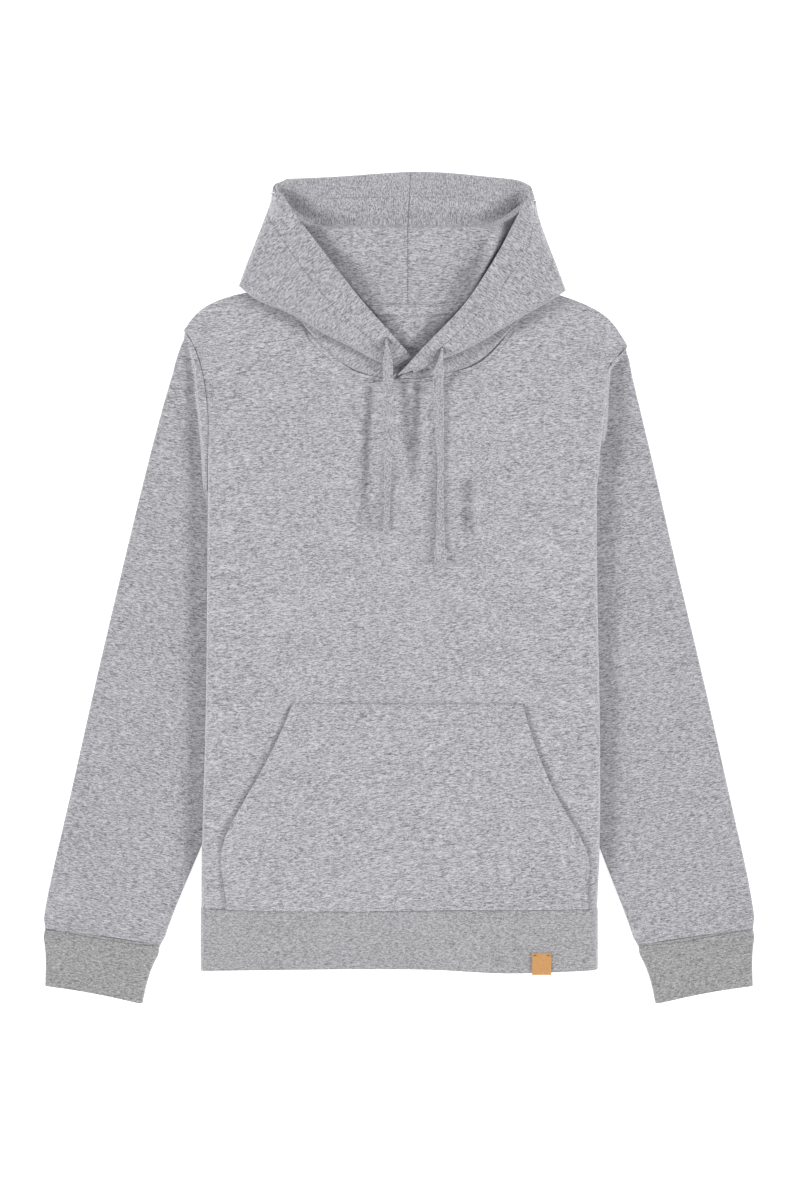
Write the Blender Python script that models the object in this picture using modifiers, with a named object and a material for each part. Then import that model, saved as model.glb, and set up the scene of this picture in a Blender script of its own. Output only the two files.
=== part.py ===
"""A grey pullover hoodie laid flat on its back, with its sides and the slack of its hood folded beneath.

Sizes are in millimetres and become metres as each mesh is made. +X is the right side of the laid-out
front, +Y runs from the hem to the hood, +Z is up, and z = 0 is the surface that the hoodie lies on.
Each piece of cloth is the middle surface of its wall, worked out on a grid, and Solidify gives the wall.
"""

import math
from collections import namedtuple

import bpy
from mathutils import Vector

MM = 0.001

# ---- Cloth and layers ----
WALL = 1.6  # brushed fleece
RIB = 3.0  # rib, folded double
AIR = 0.4  # between layers that lie on each other
SEAM = 0.3  # between pieces that a seam joins
PITCH = WALL + AIR
RIB_PITCH = RIB + AIR
SLEEVE_STACK = 2 * PITCH  # both layers of a sleeve
PUFF_FRONT = 2.2  # air that holds the front off the back
PUFF_SLEEVE = 3.2

# ---- Body ----
Edge = namedtuple("Edge", "y left right")
Point = namedtuple("Point", "x y")

FLAP = 75.0  # width of each side folded beneath
ARMHOLE_FOOT = {"left": 100.0, "right": 150.0}  # where the armhole seam turns round the fold
UNDERARM_Y = 40.0
ROLL_LENGTH = 70.0  # over which the front's edge rolls down into the fold
CENTRE_SLOPE = 152.0  # from the edge to where the back lies on the floor
HEM_Y = -327.0
RIB_BLEND = (-298.0, -322.0)  # where the layers open up to the rib's thickness

# The armhole seam above each armhole's foot, and the fold below it.
BODY_EDGE = [
    Edge(264, -219.5, 232.3),
    Edge(255, -212.7, 232.3),
    Edge(246, -208.5, 232.3),
    Edge(238, -205.5, 223.0),
    Edge(227, -201.8, 212.6),
    Edge(206, -197.6, 210.1),
    Edge(174, -194.6, 208.4),
    Edge(143, -194.4, 204.2),
    Edge(100, -195.2, 201.6),
    Edge(0, -196.0, 202.3),
    Edge(-114, -197.2, 205.0),
    Edge(-215, -200.0, 205.6),
    Edge(-327, -203.0, 203.4),
]
SHOULDER = {
    "left": [Point(-220, 264), Point(-208, 280), Point(-192, 292), Point(-162, 301.4), Point(-100, 311.6)],
    "right": [
        Point(119.5, 310),
        Point(170, 298.4),
        Point(186, 292.2),
        Point(210, 280),
        Point(221, 268),
        Point(228.5, 255.5),
        Point(232.5, 245),
    ],
}
NECK_LEFT, NECK_RIGHT = -100.0, 119.5
NECK_TOP, NECK_DROP = 306.0, 92.0
NECKLINE_FRONT = [
    Point(-100, 274),
    Point(-88.7, 256.5),
    Point(-69.4, 237.2),
    Point(-51, 224.9),
    Point(-34.7, 218.8),
    Point(-17.3, 215.2),
    Point(-4.1, 213.7),
    Point(11.2, 214.2),
    Point(32.6, 216.2),
    Point(47.9, 219.8),
    Point(69.4, 224.9),
    Point(89.8, 235.1),
    Point(103, 249.4),
    Point(119.5, 270.8),
]
NECKLINE_BACK = [
    Point(-100, 306),
    Point(-82, 297),
    Point(-58, 289),
    Point(-25, 284.5),
    Point(9, 283),
    Point(45, 284.5),
    Point(77, 289),
    Point(101, 297),
    Point(119.5, 306),
]

# Soft troughs that hang from the neckline.
Trough = namedtuple("Trough", "x_top x_foot y_top y_foot depth width")
CHEST_TROUGHS = [
    Trough(-31.6, -37.7, 212, 74, 1.5, 8),
    Trough(2.0, 2.5, 212, 150, 1.0, 7),
    Trough(18.4, 16.3, 212, 40, 1.6, 8),
    Trough(71.4, 73.5, 203, 40, 1.7, 9),
]

# ---- Sleeves ----
SLEEVE_OUTER = [
    Edge(256, -223.4, 228.8),
    Edge(231, -230.5, 235.7),
    Edge(194, -240.7, 244.0),
    Edge(133, -256.0, 259.0),
    Edge(23, -282.5, 283.6),
    Edge(-112, -314.2, 316.2),
    Edge(-210, -335.6, 337.6),
    Edge(-308, -359.0, 360.0),
    Edge(-344, -366.0, 366.0),
]
SLEEVE_INNER = [
    Edge(40, -121.0, 127.0),
    Edge(-93, -140.0, 146.0),
    Edge(-205, -178.0, 183.0),
    Edge(-279, -208.4, 210.0),
    Edge(-307, -221.3, 222.0),
    Edge(-332, -231.5, 231.6),
    Edge(-344, -236.6, 236.8),
    Edge(-366, -242.0, 242.0),
]
# How far the sleeve's cloth runs on beside the armhole seam before it drops off the body's fold.
LEDGE = [
    Edge(264, 0.8, 0.8),
    Edge(241, 3.0, 0.8),
    Edge(221, 5.7, 0.8),
    Edge(197, 7.7, 0.8),
    Edge(174, 7.0, 0.8),
    Edge(150, 5.0, 0.8),
    Edge(127, 2.5, 0.8),
    Edge(100, 0.8, 0.8),
]
CUFF_SIDES = {
    "outer": [Point(364.5, -349), Point(361.3, -363), Point(360, -377), Point(360.1, -391), Point(360.6, -406)],
    "inner": [Point(241, -365.5), Point(249, -379), Point(255.5, -392), Point(259.5, -407), Point(262.9, -424.4)],
}
CUFF_PUFF = 0.5
OUTER_ROLL, INNER_ROLL = 1.9, 1.0  # how far a sleeve's flat part stops short of its rolled edges

# ---- Hood: a row for each line that runs from the neck seam over the fold or ridge to the rim ----
Meridian = namedtuple("Meridian", "neck fold rim low high rim_z")
HOOD = {
    "left": [
        Meridian((9, 283), (9, 364), (12, 423.5), 0.8, 15.0, 21.0),
        Meridian((-12, 283.6), (-21, 364), (-21, 421.8), 0.8, 15.0, 21.2),
        Meridian((-36, 285.4), (-55, 364.6), (-55, 418.7), 0.8, 14.0, 21.3),
        Meridian((-60, 289.4), (-86, 366), (-89, 417), 0.8, 12.0, 21.3),
        Meridian((-80, 296), (-110, 382), (-114, 416.4), 0.8, 9.5, 20.6),
        Meridian((-93, 303), (-128, 405), (-122.5, 411.5), 0.9, 15.5, 19.4),
        Meridian((-99.5, 302), (-137.5, 379), (-117, 398), 0.9, 16.4, 19.2),
        Meridian((-100.5, 296), (-147.5, 353.5), (-105, 380), 0.9, 16.6, 19.2),
        Meridian((-101, 290), (-157, 330), (-91, 361.5), 1.8, 16.4, 19.0),
        Meridian((-101, 284), (-163.8, 308.5), (-76, 342), 4.9, 16.0, 18.6),
        Meridian((-100.5, 279), (-146, 292.5), (-64, 326), 5.4, 15.8, 18.2),
        Meridian((-99, 272.5), (-122, 284.5), (-51.5, 310.5), 5.6, 15.4, 17.6),
        Meridian((-94, 263.8), (-98, 273.5), (-38.8, 294.3), 5.6, 14.8, 16.8),
        Meridian((-77, 244.4), (-76, 258), (-26, 280), 5.6, 14.0, 15.8),
        Meridian((-52, 225.7), (-51, 247.4), (-12, 264.6), 5.6, 13.0, 14.4),
        Meridian((-33, 218.5), (-33, 236.5), (-1, 251.5), 5.4, 12.0, 12.8),
        Meridian((-17, 215.4), (-18, 229.5), (8, 242.5), 5.2, 10.8, 11.0),
        Meridian((-4, 214), (-1, 226), (12.5, 237), 5.0, 9.0, 9.0),
    ],
    "right": [
        Meridian((9, 283), (9, 364), (12, 423.5), 0.8, 15.0, 21.0),
        Meridian((30, 283.8), (40, 364), (42, 423.4), 0.8, 15.0, 21.0),
        Meridian((55, 285.6), (72, 364.6), (77, 419.8), 0.8, 14.0, 21.2),
        Meridian((79, 289.6), (100, 368), (107, 416.8), 0.8, 12.0, 21.2),
        Meridian((99, 296), (121, 384), (124, 414.6), 0.8, 9.5, 20.6),
        Meridian((112, 302.5), (139, 396.5), (133.3, 408), 0.9, 15.5, 19.6),
        Meridian((119, 302), (144.5, 375), (129.5, 396), 0.9, 16.6, 19.6),
        Meridian((120, 296), (153.5, 351), (121, 380.5), 0.9, 17.0, 19.6),
        Meridian((120.5, 291), (162.5, 328), (110, 358), 1.8, 16.8, 19.4),
        Meridian((120.5, 286), (171, 304), (97, 335), 4.9, 16.4, 19.2),
        Meridian((120, 279), (157, 293.8), (86.5, 318), 5.4, 16.2, 19.0),
        Meridian((118.4, 271), (129, 278.5), (76, 301.5), 5.6, 16.0, 18.6),
        Meridian((101.5, 249.4), (103, 262.9), (63, 285), 5.6, 15.6, 18.2),
        Meridian((79.5, 231.4), (77.5, 247.5), (50, 271), 5.8, 15.4, 17.8),
        Meridian((59, 222.8), (59, 238.5), (36.5, 257.5), 6.0, 15.2, 17.2),
        Meridian((42, 218.9), (42, 233), (23, 244), 6.2, 15.0, 16.4),
        Meridian((27, 216), (27, 224.6), (10.5, 229.8), 6.4, 14.2, 15.6),
        Meridian((6, 214.6), (15, 219.2), (-2.5, 216.8), 6.2, 12.6, 13.6),
    ],
}
CROWN_ROWS = 5  # the first rows run over the ridge to the crown; the rest fold over at the sides
NECKLINE_ROWS = 12  # from here on the rows start on the front's neckline
TUNNEL = 3.2  # the turned-in rim, two layers
VALLEY_Z = 3.2
SLACK_AIR = 1.3

# ---- Small pieces ----
POCKET_TOP_Y = -117.0
POCKET_SIDES = [
    Edge(-117, -108.1, 125.5),
    Edge(-143, -118.3, 132.9),
    Edge(-180, -136.7, 145.6),
    Edge(-215, -157.1, 161.5),
    Edge(-232, -166.5, 171.5),
    Edge(-256, -180.5, 188.6),
    Edge(-263, -183.1, 195.0),
    Edge(-285, -182.1, 194.8),
    Edge(-325, -176.5, 192.8),
]
POCKET_LIFT = WALL + 2 * AIR
CLOSEST = 3.0  # between two columns of the pocket
TAPE = (11.0, 0.8)  # width and thickness
TAG = (19.4, 22.4, 0.8)  # width, height, thickness
TAG_X = 145.3
HEM_EDGE = [
    Point(-203, -389.8),
    Point(-101, -388.6),
    Point(21, -388.8),
    Point(108, -392.6),
    Point(160, -391.0),
    Point(195, -389.4),
    Point(203.4, -387.4),
]
HEM_SEAM = [
    Point(-203, -326.6),
    Point(-120, -328.6),
    Point(-50, -329.6),
    Point(60, -328.0),
    Point(140, -327.4),
    Point(203.4, -326.6),
]
Knot = namedtuple("Knot", "x y lift turn")  # turn is 0 flat and 1 on edge
DRAWCORDS = {
    "left": [
        Knot(-12.6, 253.0, 11.5, 0.0),
        Knot(-12.3, 246.0, 11.1, 0.0),
        Knot(-11.8, 238.0, 9.6, 0.0),
        Knot(-11.4, 229.0, 6.9, 0.0),
        Knot(-11.0, 219.0, 2.9, 0.0),
        Knot(-10.8, 209.0, 0.6, 0.0),
        Knot(-10.7, 197.0, 0.0, 0.0),
        Knot(-11.0, 183.0, 0.0, 0.0),
        Knot(-11.2, 160.0, 0.0, 0.0),
        Knot(-11.2, 137.0, 0.0, 0.05),
        Knot(-11.4, 119.0, 0.3, 0.45),
        Knot(-12.0, 95.0, 0.4, 0.5),
        Knot(-12.6, 75.0, 0.3, 0.6),
        Knot(-13.0, 58.5, 0.2, 0.65),
    ],
    "right": [
        Knot(44.0, 243.0, 14.4, 0.0),
        Knot(43.0, 236.0, 13.7, 0.0),
        Knot(41.6, 228.0, 10.6, 0.0),
        Knot(40.6, 219.0, 5.9, 0.0),
        Knot(40.1, 210.0, 2.2, 0.0),
        Knot(40.0, 200.0, 0.4, 0.0),
        Knot(40.3, 187.0, 0.0, 0.0),
        Knot(41.0, 166.0, 0.0, 0.1),
        Knot(41.6, 146.0, 0.1, 0.3),
        Knot(42.4, 124.0, 0.3, 0.5),
        Knot(42.0, 100.0, 0.3, 0.45),
        Knot(42.0, 70.0, 0.1, 0.3),
        Knot(42.1, 42.0, 0.0, 0.05),
        Knot(42.1, 26.5, 0.0, 0.0),
    ],
}
CORD = (10.6, 2.6)  # width and thickness

COLOURS = {
    "fleece": ((0.46, 0.455, 0.475), 0.95),
    "rib": ((0.40, 0.40, 0.405), 0.95),
    "cord": ((0.44, 0.44, 0.455), 0.9),
    "cork": ((0.52, 0.27, 0.10), 0.8),
}
SIDES = ("left", "right")


# ---- Small tools ----
def mix(a, b, t):
    return a + (b - a) * t


def ramp(value, start, end):
    """0 at start and 1 at end, with a soft beginning and end."""
    t = min(max((value - start) / (end - start), 0.0), 1.0)
    return t * t * (3.0 - 2.0 * t)


def table_value(rows, key, column, at):
    """A column of a table at a value of its key, along a smooth curve that doesn't overshoot its rows."""
    keys = [getattr(row, key) for row in rows]
    values = [getattr(row, column) for row in rows]
    if keys[0] > keys[-1]:
        keys.reverse()
        values.reverse()
    if at <= keys[0]:
        return values[0]
    if at >= keys[-1]:
        return values[-1]
    steps = [(values[i + 1] - values[i]) / (keys[i + 1] - keys[i]) for i in range(len(keys) - 1)]
    slopes = [steps[0]] + [
        2 * a * b / (a + b) if a * b > 0 else 0.0 for a, b in zip(steps, steps[1:])
    ] + [steps[-1]]
    i = max(n for n in range(len(steps)) if keys[n] <= at)
    width = keys[i + 1] - keys[i]
    t = (at - keys[i]) / width
    return (
        values[i] * (1 + 2 * t) * (1 - t) ** 2
        + slopes[i] * width * t * (1 - t) ** 2
        + values[i + 1] * t * t * (3 - 2 * t)
        + slopes[i + 1] * width * t * t * (t - 1)
    )


def smooth_points(points, count):
    """Points evenly spaced by index along a Catmull-Rom curve through points of any size."""
    ends = [2 * points[0] - points[1]] + list(points) + [2 * points[-1] - points[-2]]
    found = []
    for n in range(count):
        at = n * (len(points) - 1) / (count - 1)
        i = min(int(at), len(points) - 2)
        t = at - i
        a, b, c, d = ends[i : i + 4]
        found.append(
            0.5 * (2 * b + (c - a) * t + (2 * a - 5 * b + 4 * c - d) * t * t + (3 * b - a - 3 * c + d) * t**3)
        )
    return found


def material(kind):
    if kind in bpy.data.materials:
        return bpy.data.materials[kind]
    colour, roughness = COLOURS[kind]
    made = bpy.data.materials.new(kind)
    made.use_nodes = True
    shader = made.node_tree.nodes["Principled BSDF"]
    shader.inputs["Base Color"].default_value = (*colour, 1.0)
    shader.inputs["Roughness"].default_value = roughness
    shader.inputs["Metallic"].default_value = 0.0
    return made


def add_mesh(name, points, faces, kind):
    mesh = bpy.data.meshes.new(name)
    mesh.from_pydata([tuple(c * MM for c in p) for p in points], [], faces)
    mesh.materials.append(material(kind))
    mesh.shade_smooth()
    obj = bpy.data.objects.new(name, mesh)
    garment.objects.link(obj)
    return obj


def add_cloth(name, grid, kind, thickness, closed=False, thick=None):
    """A wall round the middle surface that grid gives: a dict of points by row and column, gaps allowed.

    closed joins the last column to the first. thick is a dict of shares of the thickness.
    """
    keys = sorted(grid)
    index = {key: n for n, key in enumerate(keys)}
    columns = 1 + max(column for _, column in keys)
    faces = []
    for row, column in keys:
        beside = (column + 1) % columns if closed else column + 1
        corners = [(row, column), (row, beside), (row + 1, beside), (row + 1, column)]
        if all(corner in index for corner in corners):
            a, b, c, d = (index[corner] for corner in corners)
            rightward = grid[row, beside].x > grid[row, column].x
            faces += [[a, b, c], [a, c, d]] if rightward else [[a, b, d], [b, c, d]]
    obj = add_mesh(name, [grid[key] for key in keys], faces, kind)
    if thick:
        group = obj.vertex_groups.new(name="wall")
        for key in keys:
            group.add([index[key]], thick.get(key, 1.0), "REPLACE")
    wall = obj.modifiers.new("wall", "SOLIDIFY")
    wall.thickness = thickness * MM
    wall.offset = 0.0
    wall.use_quality_normals = True
    if thick:
        wall.vertex_group = "wall"
    return obj


# ---- The stack of layers under any point ----
def edge(side, y):
    return table_value(BODY_EDGE, "y", side, y)


def inward(side):
    return 1.0 if side == "left" else -1.0


def inside(side, x, y):
    """How far x lies inside the body's edge on one side."""
    return (x - edge(side, y)) * inward(side)


def sleeve_lift(x, y):
    """The height that a sleeve lying beneath gives."""
    beyond_left = x - table_value(SLEEVE_INNER, "y", "left", y)
    beyond_right = table_value(SLEEVE_INNER, "y", "right", y) - x
    beneath = ramp(min(beyond_left, beyond_right), 60.0, 14.0)
    return SLEEVE_STACK * beneath * ramp(y, -312.0, -268.0)


def rib_share(y):
    return ramp(y, *RIB_BLEND)


def base(y):
    """The middle of the lowest layer."""
    return mix(WALL, RIB, rib_share(y)) / 2


def pitch(y):
    return mix(PITCH, RIB_PITCH, rib_share(y))


def flap_z(x, y, layer):
    """The middle of a side folded beneath: layer 0 is the front's, 1 the back's."""
    return base(y) + sleeve_lift(x, y) + layer * pitch(y)


def back_z(x, y):
    side = min(SIDES, key=lambda one: inside(one, x, y))
    flaps = 2 * pitch(y) * ramp(inside(side, x, y), CENTRE_SLOPE, FLAP + 5.0)
    foot = ARMHOLE_FOOT[side]
    return base(y) + (flaps + sleeve_lift(x, y)) * ramp(y, foot + 125.0, foot)


def neck_y(x, neckline):
    return table_value(neckline, "x", "y", x)


def top_y(x, neckline):
    """The upper edge of a panel: shoulder, neckline, shoulder."""
    if x < NECK_LEFT:
        return table_value(SHOULDER["left"], "x", "y", x)
    if x > NECK_RIGHT:
        return table_value(SHOULDER["right"], "x", "y", x)
    return neck_y(x, neckline)


def trough_depth(x, y):
    total = 0.0
    for one in CHEST_TROUGHS:
        down = (one.y_top - y) / (one.y_top - one.y_foot)
        middle = mix(one.x_top, one.x_foot, down)
        length = ramp(down, -0.1, 0.25) * ramp(down, 1.15, 0.6)
        total += one.depth * length * math.exp(-(((x - middle) / one.width) ** 2))
    return total


def front_z(x, y):
    """The front lies on the back along the shoulders and the neckline, and air lifts it below them."""
    across = (x - (NECK_LEFT + NECK_RIGHT) / 2) / (NECK_RIGHT - NECK_LEFT) * 2
    from_neck = math.hypot(across, (NECK_TOP - y) / NECK_DROP) - 1.0
    puff = PUFF_FRONT * ramp(from_neck * NECK_DROP, 0.0, 60.0) * ramp(y, NECK_TOP, NECK_TOP - 70.0)
    return back_z(x, y) + pitch(y) + puff * (1.0 - 0.3 * trough_depth(x, y))


# ---- Folds at the body's sides ----
def half_wall(y):
    return mix(WALL, RIB, rib_share(y)) / 2


def panel_z(layer, x, y):
    return front_z(x, y) if layer == 0 else back_z(x, y)


def fold_radius(layer, side, y):
    y = min(y, ARMHOLE_FOOT[side])
    x = edge(side, y) + inward(side) * 10.0
    return (panel_z(layer, x, y) - flap_z(x, y, layer)) / 2


def fold_start(layer, side, y):
    """The middle surface at the fold's outermost point, or at the armhole seam above it."""
    foot = ARMHOLE_FOOT[side]
    nested = half_wall(y)
    if layer == 1:
        deep = nested + fold_radius(0, side, y) - fold_radius(1, side, y) + 1.0
        nested = mix(nested, deep, ramp(y, foot + 125.0, foot))
    return edge(side, y) + inward(side) * nested


def fold_point(layer, side, y, angle):
    """A point of the fold: 0 is its outermost line, a quarter turn its top."""
    foot = ARMHOLE_FOOT[side]
    radius = fold_radius(layer, side, y)
    top_x = fold_start(layer, side, y) + inward(side) * radius
    x = top_x - inward(side) * radius * math.cos(angle)
    top = panel_z(layer, top_x, y)
    if angle >= 0:
        roll = ramp(y, foot + ROLL_LENGTH, foot)
        return Vector((x, y, top - radius * roll * (1 - math.sin(angle))))
    low = flap_z(top_x, y, layer)
    return Vector((x, y, mix(low, top, (1 + math.sin(angle)) / 2)))


def fold_top_x(layer, side, y):
    return fold_start(layer, side, y) + inward(side) * fold_radius(layer, side, y)


def flap_point(layer, side, y, share):
    """A point of a side folded beneath. Every layer has its columns at the same shares of the width."""
    x = flat_point(1, y, share if side == "left" else 1 - share).x
    return Vector((x, y, flap_z(x, y, layer)))


def flat_point(layer, y, share):
    x = mix(fold_top_x(layer, "left", y), fold_top_x(layer, "right", y), share)
    return Vector((x, y, panel_z(layer, x, y)))


# ---- Front and back panels ----
ARMHOLE_ROWS = (0.0, 0.09, 0.22, 0.39, 0.58, 0.79)  # from the shoulder to the armhole's foot
CHEST_ROWS = (0.0, 0.18, 0.55)  # from there to the first level row
LEVEL_ROWS = (-60.0, -117.0, -150.0, -185.0, -220.0, -250.0, -275.0, -298.0, -311.0)
FIRST_LEVEL = len(ARMHOLE_ROWS) + len(CHEST_ROWS)
FLAP_SHARES = (0.015, 0.038, 0.074, 0.11, 0.148, 0.182)


def column_share(layer, x, neckline):
    """The share of the width at which a column ends at x on the panel's upper edge."""
    y = top_y(x, neckline)
    left, right = fold_top_x(layer, "left", y), fold_top_x(layer, "right", y)
    return (x - left) / (right - left)


def column_top(layer, share, neckline):
    y = 264.0
    for _ in range(30):
        y = mix(y, top_y(flat_point(layer, y, share).x, neckline), 0.4)
    return y


def side_columns(layer, side, neckline, steps):
    """The columns of one side, from the flap's free edge round the fold: place, top and foot of each."""
    foot = ARMHOLE_FOOT[side]
    found = []
    for n, share in reversed(list(enumerate(FLAP_SHARES))):
        start = mix(foot - 6.0, UNDERARM_Y, (n + 1) / len(FLAP_SHARES))
        found.append((lambda y, s=share: flap_point(layer, side, y, s), None, start))
    for n in range(-steps, steps):
        angle = math.pi / 2 * n / steps
        top = top_y(fold_point(layer, side, 264.0, angle).x, neckline) if n >= 0 else None
        start = foot + 6.0 * min(math.sin(angle), 0.0)
        found.append((lambda y, a=angle: fold_point(layer, side, y, a), top, start))
    return found


def panel(name, layer, neckline, stations, steps):
    """A body panel. stations are x of its columns at the shoulders; steps is each quarter of a fold's."""
    columns = side_columns(layer, "left", neckline, steps)
    flats = [(column_share(layer, x, neckline), top_y(x, neckline)) for x in stations]
    for share in (0.0,) + FLAP_SHARES:
        flats += [(one, column_top(layer, one, neckline)) for one in (share, 1.0 - share)]
    for share, top in sorted(flats):
        foot = mix(ARMHOLE_FOOT["left"], ARMHOLE_FOOT["right"], share)
        columns.append((lambda y, s=share: flat_point(layer, y, s), top, foot))
    columns += reversed(side_columns(layer, "right", neckline, steps))

    grid = {}
    for column, (place, top, foot) in enumerate(columns):
        if top is not None:
            for row, share in enumerate(ARMHOLE_ROWS):
                grid[row, column] = place(mix(top, foot, share))
        for row, share in enumerate(CHEST_ROWS):
            grid[len(ARMHOLE_ROWS) + row, column] = place(mix(foot, LEVEL_ROWS[0], share))
        hem = neck_y(place(HEM_Y).x, HEM_SEAM) + SEAM / 2
        for row, y in enumerate(LEVEL_ROWS + (hem,)):
            grid[FIRST_LEVEL + row, column] = place(y)
    add_cloth(name, grid, "fleece", WALL)
    return grid


# ---- Waistband ----
def waistband():
    """One ring: the front outside, the back inside, joined at the flaps' free edges."""
    quarter = [math.pi / 2 * n / 3 for n in range(-3, 4)]
    turn = [math.pi / 2 * n / 2 for n in (1, 0, -1)]

    def ring(y):
        points = []
        for layer, order in ((0, 1), (1, -1)):
            one = [flap_point(layer, "left", y, share) for share in FLAP_SHARES[::-2]]
            one += [fold_point(layer, "left", y, angle) for angle in quarter[:-1]]
            one += [flat_point(layer, y, n / 14) for n in range(15)]
            one += [fold_point(layer, "right", y, angle) for angle in reversed(quarter[:-1])]
            one += [flap_point(layer, "right", y, share) for share in FLAP_SHARES[::2]]
            points += one[::order]
            side = "right" if layer == 0 else "left"
            ends = [flap_point(n, side, y, FLAP_SHARES[-1]) for n in (0, 1)]
            centre = (ends[0] + ends[1]) / 2
            radius = RIB_PITCH / 2
            for angle in turn[::1] if layer else turn[::-1]:
                away = inward(side) * radius * math.cos(angle)
                points.append(centre + Vector((away, 0, radius * math.sin(angle))))
        return points

    grid = {}
    for column, point in enumerate(ring(HEM_Y - 4.0)):
        top = neck_y(point.x, HEM_SEAM) - SEAM / 2
        bottom = neck_y(point.x, HEM_EDGE)
        for row, share in enumerate((0.0, 0.3, 0.7, 1.0)):
            grid[row, column] = Vector((point.x, mix(top, bottom, share), point.z))
    return add_cloth("waistband", grid, "rib", RIB, closed=True)


# ---- Sleeves and cuffs ----
def outward(side, degrees):
    """A level direction: 0 points away from the body, 90 down towards the hem."""
    angle = math.radians(degrees)
    return Vector((-inward(side) * math.cos(angle), -math.sin(angle), 0.0))


def seam_offset(side, y):
    roll = ramp(y, ARMHOLE_FOOT[side] + ROLL_LENGTH, ARMHOLE_FOOT[side])
    return mix(2.2 * SEAM, WALL + SEAM, roll)


def sleeve_top_z(side, x, y):
    foot = ARMHOLE_FOOT[side]
    ledge = table_value(LEDGE, "y", side, y) if y > foot else 0.8
    from_body = -inside(side, x, y) - ledge - (4.0 if y > foot else 9.0)
    from_outline = inward(side) * (x - table_value(SLEEVE_OUTER, "y", side, y))
    puff = ramp(from_body, 0.0, 32.0) * mix(0.55, 1.0, ramp(from_outline, 0.0, 30.0))
    return WALL / 2 + PITCH + PUFF_SLEEVE * puff


def armhole_columns(side):
    """Where each column of the sleeve starts: on the seam, round its foot and beneath the body.

    Each gives the start of the top layer, the start of the bottom one and the way the cloth leaves it.
    """
    foot = ARMHOLE_FOOT[side]
    top = top_y(fold_point(0, side, 264.0, 0.0).x, NECKLINE_FRONT)
    found = []
    turns = (68, 45, 22, 10, 8, 8, 10)
    for share, turn in zip(ARMHOLE_ROWS + (1.0,), turns):
        y = mix(top, foot, share)
        on_front = fold_point(0, side, y, 0.0)
        on_front.x -= inward(side) * seam_offset(side, y)
        on_front += outward(side, turn) * SEAM * mix(1.0, 3.0, turn / 68)
        on_back = fold_point(1, side, y, 0.0)
        on_back = Vector((on_back.x - inward(side) * SEAM, y, WALL / 2))
        found.append((on_front, on_back, turn, table_value(LEDGE, "y", side, y)))
    found[0] = (mix(found[0][0], found[1][0], 0.4), mix(found[0][1], found[1][1], 0.4), *found[0][2:])
    low = WALL / 2 + PITCH
    corner = Vector((edge(side, foot - 3) + inward(side) * 1.5, foot - 3, low))
    found.append((corner, Vector((corner.x, corner.y, WALL / 2)), 38, 0.0))
    for n in range(4):
        share = n / 3
        y = mix(foot - 17, UNDERARM_Y, share)
        x = edge(side, y) + inward(side) * mix(12.0, FLAP, share)
        found.append((Vector((x, y, low)), Vector((x, y, WALL / 2)), mix(62, 72, share), 0.0))
    return found


def rounded_edge(top, bottom, way):
    """Three points round the folded edge between two layers, which bulges along way."""
    centre = (top + bottom) / 2
    radius = (top.z - bottom.z) / 2
    found = []
    for angle in (math.pi / 4, 0.0, -math.pi / 4):
        height = Vector((0, 0, radius * math.sin(angle)))
        level = mix(Vector((top.x, top.y, 0)), Vector((bottom.x, bottom.y, 0)), (1 - math.sin(angle)) / 2)
        found.append(level + Vector((0, 0, centre.z)) + height + way * radius * math.cos(angle))
    return found


def cuff_line(side, share, column_share):
    """A point across the cuff: share 0 at the sleeve, 1 at the wrist; column_share 0 outer, 1 inner."""
    out = smooth_points([Vector((p.x, p.y)) for p in CUFF_SIDES["outer"]], 41)[round(share * 40)]
    inn = smooth_points([Vector((p.x, p.y)) for p in CUFF_SIDES["inner"]], 41)[round(share * 40)]
    point = mix(out, inn, column_share)
    bow = 1.6 * math.sin(math.pi * column_share)
    return Vector((-inward(side) * point.x, point.y + bow, 0.0))


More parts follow.
